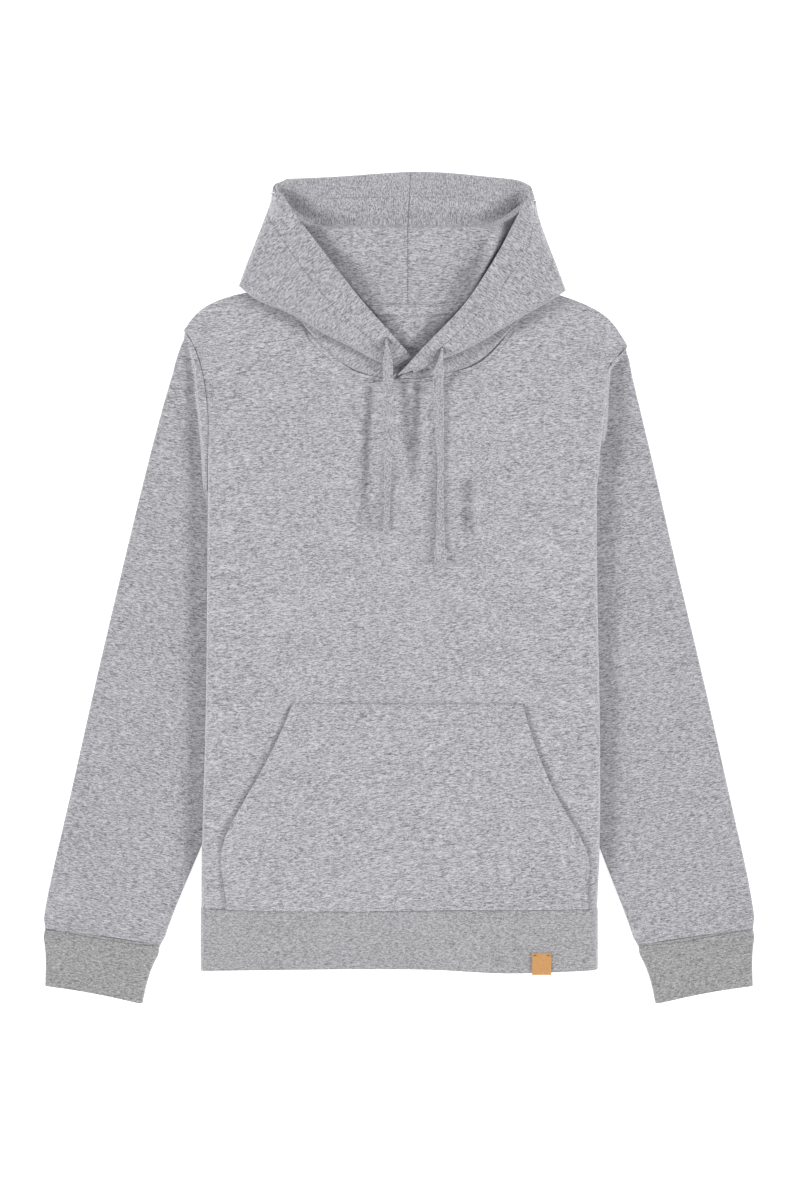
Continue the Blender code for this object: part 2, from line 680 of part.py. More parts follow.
def sleeve(side):
    s = inward(side)
    starts = armhole_columns(side)
    last = len(starts) - 1
    ledges = []  # rows 0 to 3 of the top layer
    for start, _, turn, ledge in starts:
        way = outward(side, turn)
        steps = (0.0, ledge, ledge + 1.5, ledge + 3.0) if ledge else (0.0, 0.9, 1.8, 2.8)
        points = [start + way * step for step in steps]
        low = sleeve_top_z(side, points[3].x, points[3].y) if ledge else start.z
        for point, share in zip(points, (0.0, 0.04, 0.52, 1.0)):
            point.z = mix(start.z, low, share)
        ledges.append(points)
    along = (0.025, 0.07, 0.14, 0.24, 0.36, 0.5, 0.64, 0.78, 0.9, 0.97, 1.0)
    outer_start, inner_start = ledges[0][3], ledges[last][3]

    def cuff_end(column):
        share = column / last
        point = cuff_line(side, 0.0, mix(0.02, 0.98, share))
        return point + Vector((0, 2.2 * SEAM, 0))

    def side_point(rows, start, end, share):
        y = mix(start.y, end.y, share)
        half = WALL / 2 + OUTER_ROLL if rows is SLEEVE_OUTER else -WALL / 2 - INNER_ROLL
        x, x_start, x_end = (table_value(rows, "y", side, at) + s * half for at in (y, start.y, end.y))
        x += (start.x - x_start) * (1 - share) ** 10 + (end.x - x_end) * share**24
        return Vector((x, y, 0))

    grid = {}

    def add_ring(row, tops, bottoms):
        ring = list(tops) + rounded_edge(tops[-1], bottoms[-1], -outward(side, 20))
        ring += list(reversed(bottoms)) + list(reversed(rounded_edge(tops[0], bottoms[0], outward(side, -14))))
        for column, point in enumerate(ring):
            grid[row, column] = point

    for row in range(4):
        tops = [points[row] for points in ledges]
        bottoms = []
        for (_, on_back, _, _), points in zip(starts, ledges):
            end = Vector((points[3].x, points[3].y, WALL / 2))
            bottoms.append(mix(on_back, end, row / 3))
        add_ring(row, tops, bottoms)
    for n, share in enumerate(along):
        tops, bottoms = [], []
        low = side_point(SLEEVE_OUTER, outer_start, cuff_end(0), share)
        high = side_point(SLEEVE_INNER, inner_start, cuff_end(last), share)
        for column in range(last + 1):
            across = column / last
            start, end = ledges[column][3], cuff_end(column)
            point = mix(start, end, share)
            point += (low - mix(outer_start, cuff_end(0), share)) * (1 - across)
            point += (high - mix(inner_start, cuff_end(last), share)) * across
            to_rib = ramp(share, 0.955, 1.0)
            top = mix(sleeve_top_z(side, point.x, point.y), RIB / 2 + RIB_PITCH + CUFF_PUFF, to_rib)
            tops.append(Vector((point.x, point.y, top)))
            bottoms.append(Vector((point.x, point.y, mix(WALL, RIB, to_rib) / 2)))
        add_ring(4 + n, tops, bottoms)
    return add_cloth("sleeve_" + side, grid, "fleece", WALL, closed=True)


def cuff(side):
    grid = {}
    for row, share in enumerate((0.0, 0.15, 0.4, 0.7, 1.0)):
        tops, bottoms = [], []
        for n in range(9):
            point = cuff_line(side, share, mix(0.02, 0.98, n / 8))
            tops.append(Vector((point.x, point.y, RIB / 2 + RIB_PITCH + CUFF_PUFF)))
            bottoms.append(Vector((point.x, point.y, RIB / 2)))
        ring = tops + rounded_edge(tops[-1], bottoms[-1], -outward(side, 20))
        ring += bottoms[::-1] + rounded_edge(tops[0], bottoms[0], outward(side, -14))[::-1]
        for column, point in enumerate(ring):
            grid[row, column] = point
    return add_cloth("cuff_" + side, grid, "rib", RIB, closed=True)


# ---- Pocket ----
def on_row(grid, row, x):
    """The point of a panel's row at x."""
    points = [grid[key] for key in sorted(grid) if key[0] == row]
    flats = points[len(points) // 8 : -(len(points) // 8)]
    for a, b in zip(flats, flats[1:]):
        if a.x <= x <= b.x:
            return mix(a, b, (x - a.x) / (b.x - a.x))
    raise ValueError("x lies off the panel")


def pocket(front):
    """The pocket, from the front's own points moved up; its columns close up towards its slanted sides."""
    grid = {}
    first = FIRST_LEVEL + LEVEL_ROWS.index(POCKET_TOP_Y)
    last = FIRST_LEVEL + len(LEVEL_ROWS)
    inner = [p.x for p in (front[first, column] for column in range(8, 60) if (first, column) in front)]
    inner = [x for x in inner if POCKET_SIDES[-1].left + 8.0 < x < POCKET_SIDES[-1].right - 8.0]
    inner = [x for n, x in enumerate(inner) if n % 3 == 0 or abs(x - 5.0) > 100.0]
    for row in range(first, last + 1):
        y = front[row, 20].y
        left = table_value(POCKET_SIDES, "y", "left", y)
        right = table_value(POCKET_SIDES, "y", "right", y)
        across = []
        for n, x in enumerate(inner, 1):
            lowest, highest = left + CLOSEST * n, right - CLOSEST * (len(inner) + 1 - n)
            across.append(max(lowest, min(highest, x)))
        for column, x in enumerate([left] + across + [right]):
            grid[row, column] = on_row(front, row, x) + Vector((0, 0, POCKET_LIFT))
    return add_cloth("pocket", grid, "fleece", WALL)


# ---- Hood ----
BEFORE_FOLD = (0.0, 0.22, 0.46, 0.72)
ROUND_FOLD = (-90, -45, 0, 45, 90)
RIDGE = ((-6.0, 0.6), (-1.5, 0.0), (1.6, 1.8), (3.4, 5.4), (4.8, 9.0))  # past the crest, and below it
AFTER_FOLD = (0.25, 0.5, 0.72, 0.88, 1.0)
TUNNEL_POINTS = 2


def flat(pair):
    return Vector((pair[0], pair[1], 0.0))


def fold_way(rows, n):
    """The level direction in which the hood's fold bulges at a row."""
    row = rows[n]
    if n == CROWN_ROWS:
        return (flat(row.fold) - flat(row.neck)).normalized()
    after = flat(rows[min(n + 1, len(rows) - 1)].fold)
    before = flat(rows[n - 1].fold)
    way = Vector((after.y - before.y, before.x - after.x, 0)).normalized()
    return way if way.dot(flat(row.fold) - flat(row.rim)) > 0 else -way


def crown_row(row):
    """Up the inside of the hood's back, over the ridge, down into the valley and up to the rim."""
    neck, crest, rim = flat(row.neck), flat(row.fold), flat(row.rim)
    neck.y = neck_y(neck.x, NECKLINE_BACK) + 1.5 * SEAM
    way = (crest - neck).normalized()
    points = []
    for share in BEFORE_FOLD:
        point = mix(neck, crest - way * 6.0, share)
        point.z = mix(WALL / 2, row.high - 0.6, ramp(share, -0.12, 1.12) if share else 0.0)
        points.append(point)
    for past, below in RIDGE:
        point = crest + way * past
        point.z = max(row.high - below, VALLEY_Z + 1.5)
        points.append(point)
    start = crest + way * 8.0
    for n, share in enumerate(AFTER_FOLD):
        up = n / (len(AFTER_FOLD) - 1)
        point = mix(start, rim, up)
        point.z = mix(VALLEY_Z, row.rim_z, up**1.25)
        points.append(point)
    return points


def side_row(rows, n, neck_z):
    """From the neck seam outwards, round the fold and back over to the rim."""
    row = rows[n]
    way = fold_way(rows, n)
    radius = (row.high - row.low) / 2
    centre = flat(row.fold) - way * (radius + WALL / 2)
    neck, rim = flat(row.neck), flat(row.rim)
    if n >= NECKLINE_ROWS:
        neck.y = neck_y(neck.x, NECKLINE_FRONT) + (5 if n == NECKLINE_ROWS else 2) * SEAM
    points = []
    for share in BEFORE_FOLD:
        point = mix(neck, centre, share)
        point.z = mix(neck_z, row.low, ramp(share, 0.1, 0.9))
        points.append(point)
    for angle in ROUND_FOLD:
        turn = math.radians(angle)
        point = centre + way * radius * math.cos(turn)
        point.z = (row.low + row.high) / 2 + radius * math.sin(turn)
        points.append(point)
    for point in points[1 if n >= NECKLINE_ROWS else 0 : 6]:
        if point.y < top_y(point.x, NECKLINE_FRONT) + 16.0:
            point.z = max(point.z, front_z(point.x, point.y) + WALL + 1.5 * AIR)
    for share in AFTER_FOLD:
        point = mix(centre, rim, share)
        point.z = mix(row.high, row.rim_z, share) + 0.8 * math.sin(math.pi * share)
        points.append(point)
    return points


def hood_rows(side):
    rows = HOOD[side]
    found = []
    for n, row in enumerate(rows):
        if n < CROWN_ROWS:
            found.append(crown_row(row))
            continue
        over_front = WALL / 2 + 2 * PITCH
        neck_z = {5: 2.4, 12: 3.4}.get(n, over_front if n < NECKLINE_ROWS else WALL / 2 + PITCH)
        found.append(side_row(rows, n, neck_z))
    for point in found[0]:
        point.x -= inward(side) * SEAM / 2
    return found


def hood(side):
    grid = {}
    thick = {}
    rows = hood_rows(side)
    for row, points in enumerate(rows):
        for column, point in enumerate(points):
            key = (column, row if side == "right" else len(rows) - 1 - row)
            grid[key] = point
            rim = column >= len(points) - TUNNEL_POINTS
            thick[key] = 1.0 if rim else WALL / TUNNEL
    return add_cloth("hood_" + side, grid, "fleece", TUNNEL, thick=thick)


def hood_slack():
    """The slack of the hood tucked beneath its back, as one rounded body that rests flat."""
    rows = list(reversed(hood_rows("left")[1 : CROWN_ROWS])) + hood_rows("right")[:CROWN_ROWS]
    first = 1
    count = len(rows[0])
    tops = {}
    for i, points in enumerate(rows):
        beside = rows[min(i + 1, len(rows) - 1)], rows[max(i - 1, 0)]
        for j in range(first, count):
            across = beside[0][j] - beside[1][j]
            up = points[min(j + 1, count - 1)] - points[j - 1]
            normal = across.cross(up).normalized()
            point = points[j] - normal * (WALL / 2 + SLACK_AIR)
            if j == count - 1:
                point -= (points[j] - points[j - 1]).normalized() * 6.0
            point.z = max(point.z, 0.9)
            tops[i, j] = point
    keys = sorted(tops)
    above = {key: n for n, key in enumerate(keys)}
    below = {key: len(keys) + n for n, key in enumerate(keys)}
    points = [tops[key] for key in keys]
    points += [Vector((tops[key].x, tops[key].y, 0.0)) for key in keys]
    faces = []
    last_i = len(rows) - 1
    for i in range(last_i):
        for j in range(first, count - 1):
            corners = [(i, j), (i + 1, j), (i + 1, j + 1), (i, j + 1)]
            faces.append([above[c] for c in corners])
            faces.append([below[c] for c in reversed(corners)])
    border = [(i, first) for i in range(last_i)]
    border += [(last_i, j) for j in range(first, count - 1)]
    border += [(i, count - 1) for i in range(last_i, 0, -1)]
    border += [(0, j) for j in range(count - 1, first, -1)]
    for a, b in zip(border, border[1:] + border[:1]):
        faces.append([above[b], above[a], below[a], below[b]])
    return add_mesh("hood_tucked_slack", points, faces, "fleece")


# ---- Tape, tag and drawcords ----
def neck_tape():
    width, thickness = TAPE
    middle = smooth_points([Vector((p.x, p.y, 0)) for p in NECKLINE_BACK[1:-1]], 13)
    grid = {}
    for n, point in enumerate(middle):
        after, before = middle[min(n + 1, 12)], middle[max(n - 1, 0)]
        along = (after - before).normalized()
        across = Vector((-along.y, along.x, 0))
        for row, (share, z) in enumerate(((0.5, 3.5), (0.0, 2.6), (-0.5, 2.3))):
            found = point + across * width * share
            grid[row, n] = Vector((found.x, found.y, z))
    return add_cloth("neck_tape", grid, "fleece", thickness)


def hem_tag():
    width, height, thickness = TAG
    bottom = neck_y(TAG_X, HEM_EDGE)
    z = front_z(TAG_X, HEM_Y - 4.0)
    reach = RIB / 2 + SEAM + thickness / 2
    profile = [(bottom + height - reach, reach), (bottom + height / 2, reach), (bottom, reach)]
    profile += [(bottom - reach * math.cos(t), reach * math.sin(t)) for t in (math.pi / 4, 0, -math.pi / 4)]
    profile += [(bottom, -reach), (bottom + height / 2, -reach)]
    grid = {}
    for row, (y, up) in enumerate(profile):
        for column in range(2):
            grid[row, column] = Vector((TAG_X + width * (column - 0.5), y, z + up))
    return add_cloth("hem_tag", grid, "cork", thickness)


def drawcord(side):
    """A flat cord: a curve laid on the chest, with a rounded rectangle as its section."""
    width, thickness = CORD
    route = smooth_points([Vector((knot.x, knot.y, knot.lift)) for knot in DRAWCORDS[side]], 28)
    turns = smooth_points([Vector((knot.turn, 0)) for knot in DRAWCORDS[side]], 28)
    curve = bpy.data.curves.new("drawcord_" + side, "CURVE")
    curve.dimensions = "3D"
    curve.twist_mode = "Z_UP"
    curve.bevel_depth = thickness / 2 * MM
    curve.bevel_resolution = 1
    curve.extrude = (width - thickness) / 2 * MM
    curve.use_fill_caps = True
    spline = curve.splines.new("POLY")
    spline.points.add(len(route) - 1)
    for point, place, turn in zip(spline.points, route, turns):
        angle = math.pi / 2 * turn.x
        place.z += front_z(place.x, place.y) + WALL / 2 + AIR
        place.z += thickness / 2 + (width - thickness) / 2 * math.sin(angle)
        point.co = (*(place * MM), 1.0)
        point.tilt = math.pi / 2 - angle
    curve.materials.append(material("cord"))
    obj = bpy.data.objects.new("drawcord_" + side, curve)
    garment.objects.link(obj)
    return obj


# ---- The hoodie ----
for old in list(bpy.data.objects):
    bpy.data.objects.remove(old)
garment = bpy.data.collections.new("pullover_hoodie")
bpy.context.scene.collection.children.link(garment)

FRONT_STATIONS = [-103.0, -98.0, -42.0, -25.0, 13.0, 20.0, 34.5, 66.0, 72.5, 89.0, 118.0, 123.0]
FRONT_STATIONS += [row.neck[0] for side in SIDES for row in HOOD[side][NECKLINE_ROWS:]]
BACK_STATIONS = [-103.0, -97.0] + [row.neck[0] for row in HOOD["left"][1:CROWN_ROWS]]
BACK_STATIONS += [row.neck[0] for row in HOOD["right"][:CROWN_ROWS]] + [117.0, 123.0]

front_grid = panel("body_front", 0, NECKLINE_FRONT, FRONT_STATIONS, 3)
panel("body_back", 1, NECKLINE_BACK, BACK_STATIONS, 2)
waistband()
for one_side in SIDES:
    sleeve(one_side)
    cuff(one_side)
    hood(one_side)
    drawcord(one_side)
hood_slack()
pocket(front_grid)
neck_tape()
hem_tag()
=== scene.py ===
"""A grey pullover hoodie laid flat on its back on a pale floor, seen from straight above."""

import math

import bmesh
import bpy
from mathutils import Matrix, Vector, noise
from mathutils.bvhtree import BVHTree


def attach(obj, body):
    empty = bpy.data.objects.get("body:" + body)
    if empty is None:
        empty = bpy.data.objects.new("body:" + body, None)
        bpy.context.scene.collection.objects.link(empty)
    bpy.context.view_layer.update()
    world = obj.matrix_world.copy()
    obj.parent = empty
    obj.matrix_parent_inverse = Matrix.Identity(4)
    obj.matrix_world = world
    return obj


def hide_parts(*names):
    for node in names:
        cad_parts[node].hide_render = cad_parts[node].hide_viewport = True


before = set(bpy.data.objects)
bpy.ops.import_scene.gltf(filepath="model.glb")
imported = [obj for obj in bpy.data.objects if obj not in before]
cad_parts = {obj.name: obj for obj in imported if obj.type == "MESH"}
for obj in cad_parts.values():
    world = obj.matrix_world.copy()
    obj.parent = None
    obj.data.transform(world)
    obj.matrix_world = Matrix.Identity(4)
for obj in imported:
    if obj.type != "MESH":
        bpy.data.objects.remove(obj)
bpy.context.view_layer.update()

# ---- Camera ----
# It stands over the middle of the laid-out hoodie and looks straight down, with the hood at the top.
# VIEW_HEIGHT is how many metres its view holds from top to bottom, at the height of the cloth.
CAMERA_HEIGHT = 3.5
CLOTH_HEIGHT = 0.010
VIEW_HEIGHT = 1.224
VIEW_CENTRE = (0.00102, -0.01173)
camera_data = bpy.data.cameras.new("camera")
camera = bpy.data.objects.new("camera", camera_data)
bpy.context.scene.collection.objects.link(camera)
camera.location = (*VIEW_CENTRE, CAMERA_HEIGHT)
camera_data.sensor_width = 36.0
camera_data.lens = camera_data.sensor_width * (CAMERA_HEIGHT - CLOTH_HEIGHT) / VIEW_HEIGHT
bpy.context.scene.camera = camera


# ---- Front of the body ----
# One panel of brushed-back fleece, cut on the fold. Its sides roll under to the back, and soft folds
# hang from the neckline where the hood's weight pulls on it.
def linear(colour):
    """An sRGB hex colour as linear RGBA."""
    parts = [int(colour[i : i + 2], 16) / 255 for i in (1, 3, 5)]
    return (*[p / 12.92 if p <= 0.04045 else ((p + 0.055) / 1.055) ** 2.4 for p in parts], 1.0)


def add(nodes, kind, links=(), **settings):
    """A node with its settings, and links from (socket of another node) to (its input)."""
    node = nodes.new(kind)
    inputs = settings.pop("inputs", {})
    for key, value in settings.items():
        setattr(node, key, value)
    for key, value in inputs.items():
        node.inputs[key].default_value = value
    for source, target in links:
        node.id_data.links.new(source, node.inputs[target])
    return node


def start_material(name, roughness, sheen=0.0):
    """A new material of fibres or paper; sheen is the light edge that a nap gives it."""
    made = bpy.data.materials.new(name)
    made.use_nodes = True
    shader = made.node_tree.nodes["Principled BSDF"]
    shader.inputs["Roughness"].default_value = roughness
    shader.inputs["IOR"].default_value = 1.46
    shader.inputs["Sheen Weight"].default_value = sheen
    shader.inputs["Sheen Roughness"].default_value = 0.6
    return made, made.node_tree.nodes, shader


def shade_and_relief(shader, mixed, colours, height, strength, depth):
    """Gives a material a mix of two colours, and a fine relief that is depth metres deep."""
    nodes, links = shader.id_data.nodes, shader.id_data.links
    shade = add(
        nodes,
        "ShaderNodeMix",
        [(mixed, "Factor")],
        data_type="RGBA",
        inputs={"A": linear(colours[0]), "B": linear(colours[1])},
    )
    bump = add(
        nodes,
        "ShaderNodeBump",
        [(height, "Height")],
        inputs={"Strength": strength, "Distance": depth},
    )
    links.new(shade.outputs["Result"], shader.inputs["Base Color"])
    links.new(bump.outputs["Normal"], shader.inputs["Normal"])


def smooth_points(points, count):
    """Points along a Catmull-Rom curve."""
    ends = [2 * points[0] - points[1]] + list(points) + [2 * points[-1] - points[-2]]
    found = []
    for n in range(count):
        at = n * (len(points) - 1) / (count - 1)
        i = min(int(at), len(points) - 2)
        t = at - i
        a, b, c, d = ends[i : i + 4]
        bend = (2 * a - 5 * b + 4 * c - d) * t * t
        twist = (3 * b - a - 3 * c + d) * t**3
        found.append(0.5 * (2 * b + (c - a) * t + bend + twist))
    return found


def tree_of(*meshes):
    """What rays from above meet: the faces of one or more meshes."""
    corners, faces = [], []
    for mesh in meshes:
        first = len(corners)
        corners += [v.co.copy() for v in mesh.vertices]
        faces += [[first + i for i in p.vertices] for p in mesh.polygons]
    return BVHTree.FromPolygons(corners, faces)


OVER_ALL = 0.2  # metres; higher than any cloth lies


def top_of(tree, x, y, otherwise=None):
    """The point and normal of the uppermost cloth at x, y in metres; otherwise is a height for no cloth."""
    place, normal, _, _ = tree.ray_cast(Vector((x, y, OVER_ALL)), Vector((0, 0, -1)))
    if place is None:
        return Vector((x, y, otherwise)) if otherwise is not None else None, Vector((0, 0, 1))
    return place, normal if normal.z > 0 else -normal


def ramp(value, start, end):
    """0 at start and 1 at end, with a soft beginning and end."""
    t = min(max((value - start) / (end - start), 0.0), 1.0)
    return t * t * (3.0 - 2.0 * t)


FOLD_STRAY, STRAY_LENGTH = 1.8, 10.0  # how far a fold strays from its straight line, and over what length
FOLD_START, FOLD_END = (-0.18, 0.12), (1.18, 0.75)  # where it grows and dies out, as shares of its length


def fold(point, x0, y0, x1, y1, height, width):
    """The height that one soft fold from one point to another adds, dying out at both ends."""
    ax, ay = x1 - x0, y1 - y0
    length = math.hypot(ax, ay)
    along = ((point.x - x0) * ax + (point.y - y0) * ay) / length
    share = along / length
    if not FOLD_START[0] < share < FOLD_END[0]:
        return 0.0
    across = ((point.x - x0) * ay - (point.y - y0) * ax) / length
    across += FOLD_STRAY * noise.noise(Vector((x0, y0, along / STRAY_LENGTH)))
    ends = ramp(share, *FOLD_START) * ramp(share, *FOLD_END)
    return height * ends * math.exp(-((across / width) ** 2))


def wave(point, width, length, seed):
    """Slight waves in the cloth from -1 to 1, about as wide and as long in mm as given."""
    return noise.noise(Vector((point.x / width, point.y / length, seed)))


def along_table(rows, at):
    """The second number of a table at a value of its first, which falls from row to row."""
    for (a, va), (b, vb) in zip(rows, rows[1:]):
        if at >= b:
            return va + (vb - va) * min(max((at - a) / (b - a), 0.0), 1.0)
    return rows[-1][1]


MM = 0.001  # the sizes of the cloth and its seams are in millimetres, and this makes metres of them
# The chest's cloth bunches up below the neckline, with troughs in it. Each row is where a fold starts and
# ends, its height and its width.
CHEST_FOLDS = [
    (-27.5, 224, -36.0, 62, -6.2, 12.5),
    (1.5, 224, 5.5, 128, -4.8, 7.5),
    (22.5, 224, 14.0, 100, -6.6, 10.5),
    (16.0, 68, 16.0, 42, -5.0, 8.5),
    (70.0, 218, 70.0, 190, -3.0, 10.0),
    (71.0, 108, 72.0, 44, -7.8, 12.0),
    (-62, 190, -68, 110, -0.5, 12),
    (112, 190, 116, 96, -0.5, 13),
    (-150, 240, -186, 150, -0.5, 12),
    (160, 236, 196, 160, -0.5, 12),
    (-130, -250, -90, -300, 0.4, 14),
    (150, -70, 190, -30, -0.4, 14),
    (-190, -40, -150, -70, -0.4, 13),
]
# The bunched cloth's height, and where each side of it rises, from the outside to the inside.
BUNCH = {"height": 5.6, "left": (-88, -44), "right": (118, 84), "top": (218, 204), "foot": (-10, 60)}
# The front is loose in slight waves, except near its edges, and no trough goes deeper than FRONT_LOWEST.
FRONT_LOOSE, FRONT_LOWEST, FRONT_MIDDLE = 0.7, -1.2, 3
LOOSE_SIDES, LOOSE_TOP, LOOSE_FOOT = (196, 150), (225, 190), (-318, -290)

# The armholes' seams, as y and x from the shoulder down.
ARMHOLE = {
    "left": [
        (264, -219.5), (246, -208.5), (227, -201.8), (206, -197.6),
        (174, -194.6), (143, -194.4), (100, -195.2),
    ],
    "right": [
        (264, 232.3), (246, 232.3), (227, 212.6), (206, 210.1),
        (174, 208.4), (143, 204.2), (100, 201.6),
    ],
}
ARMHOLE_SEWN = (112, 250)  # the stretch of y that has rows of stitches
ARMHOLE_RISE = 3.2  # the seam's thickness holds the body's edge up off the sleeve
# The rise grows from the seam's two ends, and from the body towards the seam.
RISE_FOOT, RISE_TOP, RISE_ON_BODY = (102, 140), (262, 226), (62, 2)
# How far past the seam the rise reaches on the sleeve, at each y. On the right it doesn't.
LEDGE = {
    "left": [
        (264, 0.8), (241, 3.0), (221, 5.7), (197, 7.7),
        (174, 7.0), (150, 5.0), (127, 2.5), (100, 0.8),
    ],
    "right": [(264, -4.0), (100, -4.0)],
}
LEDGE_FOOT, LEDGE_TOP = 4.0, 0.4  # where its step down ends and starts, past the ledge
# How far the two edges are drawn to the seam, how near to it, and from where up.
DRAWN_TO_ARMHOLE = {"sleeve": 0.45, "left": 0.35, "right": 1.1}
DRAWN_NEAR, DRAWN_FROM = (4.0, 1.2), (104, 112)
MIRROR = {"left": 1.0, "right": -1.0}  # what turns x on a side into x on the left


def side_of(point):
    """The side of the hoodie that a point lies on."""
    return "left" if point.x < 0 else "right"


def past_armhole(point):
    """How far a point lies past an armhole's seam, on the sleeve; it is negative on the body."""
    side = side_of(point)
    return (along_table(ARMHOLE[side], point.y) - point.x) * MIRROR[side]


def armhole_rise(point):
    """The rise of the cloth along an armhole's seam: gentle on the body, and a step down on the sleeve."""
    past = past_armhole(point)
    ends = ramp(point.y, *RISE_FOOT) * ramp(point.y, *RISE_TOP)
    if past <= 0:
        return ARMHOLE_RISE * ends * ramp(-past, *RISE_ON_BODY)
    ledge = along_table(LEDGE[side_of(point)], point.y)
    return ARMHOLE_RISE * ends * ramp(past, ledge + LEDGE_FOOT, ledge + LEDGE_TOP)


def close_armhole(point):
    """The level shift that brings the two edges of an armhole's seam together."""
    past = past_armhole(point)
    side = side_of(point)
    near = ramp(abs(past), *DRAWN_NEAR) * ramp(point.y, *DRAWN_FROM)
    if past > 0:
        return DRAWN_TO_ARMHOLE["sleeve"] * MIRROR[side] * near
    return -DRAWN_TO_ARMHOLE[side] * MIRROR[side] * near


SHOULDER = {"left": (-220.0, 262.6), "right": (232.4, 246.6)}  # the top of an armhole's seam
SHOULDER_SHARE, SHOULDER_NEAR = 0.8, (10.0, 2.5)  # how much of the way to it the cloth moves, and how near


def close_shoulder(point):
    """The level shift that draws the corners of body and sleeve together at the shoulder."""
    away = Vector(SHOULDER[side_of(point)]) - Vector((point.x, point.y))
    shift = away * SHOULDER_SHARE * ramp(away.length, *SHOULDER_NEAR)
    return Vector((shift.x, shift.y, 0))


# The seam where the body's cloth meets the waistband, as x and y from right to left.
HEM_SEAM = [(197, -326.6), (140, -327.4), (60, -328.0), (-50, -329.6), (-120, -328.6), (-196, -326.6)]
SEAM_DIP = (3.5, 0.3)  # the cloth dips towards a seam over this distance from it
HEM_DEPTH, HEM_PULL = 0.9, 0.5  # how far it dips at the waistband's seam, and is drawn down to it


def front_folds(point):
    """How a point of the front moves: the bunch and its troughs, and what its seams do to it."""
    bunch = ramp(point.x, *BUNCH["left"]) * ramp(point.x, *BUNCH["right"])
    bunch *= ramp(point.y, *BUNCH["top"]) * ramp(point.y, *BUNCH["foot"])
    total = sum(fold(point, *one) for one in CHEST_FOLDS) * ramp(point.y, *BUNCH["top"])
    inner = ramp(abs(point.x - FRONT_MIDDLE), *LOOSE_SIDES)
    inner *= ramp(point.y, *LOOSE_TOP) * ramp(point.y, *LOOSE_FOOT)
    loose = FRONT_LOOSE * wave(point, 50, 70, 3.0) * inner
    rise = max(BUNCH["height"] * bunch + total + loose, FRONT_LOWEST)
    seam_shade = ramp(point.y - along_table(HEM_SEAM, point.x), *SEAM_DIP)
    rise += armhole_rise(point) - HEM_DEPTH * seam_shade
    return Vector((close_armhole(point), -HEM_PULL * seam_shade, rise)) + close_shoulder(point)


LONG_SHARE, CLOUD_SHARE = 1.15, 0.1  # what long streaks and wide clouds count for; short streaks count 1
MARL_MIDDLE, MARL_REACH = 1.125, 0.34  # the mean of the three together, and how far from it the greys run


def fleece_material(name, low, high, streak=(5.2, 1.1), contrast=1.0):
    """Brushed fleece of mixed grey and white yarn: short streaks along each course, and a matt nap.

    streak is the length and height of a streak in millimetres; the yarn's own streaks are finer.
    """
    made, nodes, shader = start_material(name, 0.95, 0.25)
    grain = add(nodes, "ShaderNodeAttribute", attribute_name="grain")

    def yarn(length, height, detail, seed):
        """Noise along the cloth's courses, with grains of about this length and height in mm."""
        spread = add(
            nodes,
            "ShaderNodeVectorMath",
            [(grain.outputs["Vector"], 0)],
            operation="MULTIPLY",
            inputs={1: (1 / length, 1 / height, 1 / height)},
        )
        moved = add(
            nodes,
            "ShaderNodeVectorMath",
            [(spread.outputs["Vector"], 0)],
            operation="ADD",
            inputs={1: (seed, seed * 1.7, seed * 0.3)},
        )
        return add(
            nodes,
            "ShaderNodeTexNoise",
            [(moved.outputs["Vector"], "Vector")],
            inputs={"Scale": 1.0, "Detail": detail, "Roughness": 0.65, "Distortion": 0.5},
        )

    long_yarn = yarn(streak[0], streak[1], 3.0, 3.1)
    short_yarn = yarn(streak[0] * 0.4, streak[1] * 0.55, 2.0, 11.7)
    cloud = yarn(45.0, 22.0, 2.0, 23.0)
    mixed = add(
        nodes,
        "ShaderNodeMath",
        [(long_yarn.outputs["Fac"], 0), (short_yarn.outputs["Fac"], 2)],
        operation="MULTIPLY_ADD",
        inputs={1: LONG_SHARE},
    )
    clouded = add(
        nodes,
        "ShaderNodeMath",
        [(cloud.outputs["Fac"], 0), (mixed.outputs["Value"], 2)],
        operation="MULTIPLY_ADD",
        inputs={1: CLOUD_SHARE},
    )
    reach = MARL_REACH / contrast
    level = add(
        nodes,
        "ShaderNodeMapRange",
        [(clouded.outputs["Value"], "Value")],
        inputs={"From Min": MARL_MIDDLE - reach, "From Max": MARL_MIDDLE + reach},
    )
    nap = yarn(1.7, 1.1, 3.0, 41.0)
    height = add(
        nodes,
        "ShaderNodeMath",
        [(short_yarn.outputs["Fac"], 0), (nap.outputs["Fac"], 1)],
        operation="ADD",
    )
    shade_and_relief(shader, level.outputs["Result"], (low, high), height.outputs["Value"], 0.55, 0.0006)
    return made


# Jersey with a brushed back, grey marl: no shine, a soft nap, and streaks of dark and white yarn.
fleece = fleece_material("brushed_marl_fleece", "#5C5C60", "#CAC9CF", contrast=1.35)
# The same cloth on the hood and sleeves, coloured a shade darker as painted shade, for the nap that lies the
# other way there and takes less light.
shaded_fleece = fleece_material("brushed_marl_fleece_painted_shade", "#59595D", "#C4C3C9", contrast=1.35)


def turned(degrees):
    """Millimetres along and across the cloth's courses, which lie at an angle to x."""
    c, s = math.cos(math.radians(degrees)), math.sin(math.radians(degrees))
    return lambda p: (p.x * c + p.y * s, p.y * c - p.x * s, p.z)


SAME_CORNER = 0.00002  # metres; corners of the solid that lie closer than this become one
PAIR_BEND, PAIR_SKEW = math.radians(60), math.radians(80)  # triangles are joined in pairs up to these angles
RIM_ANGLE, RIM_STEPS = math.radians(62), 2  # sharper edges than this are rounded, in so many steps


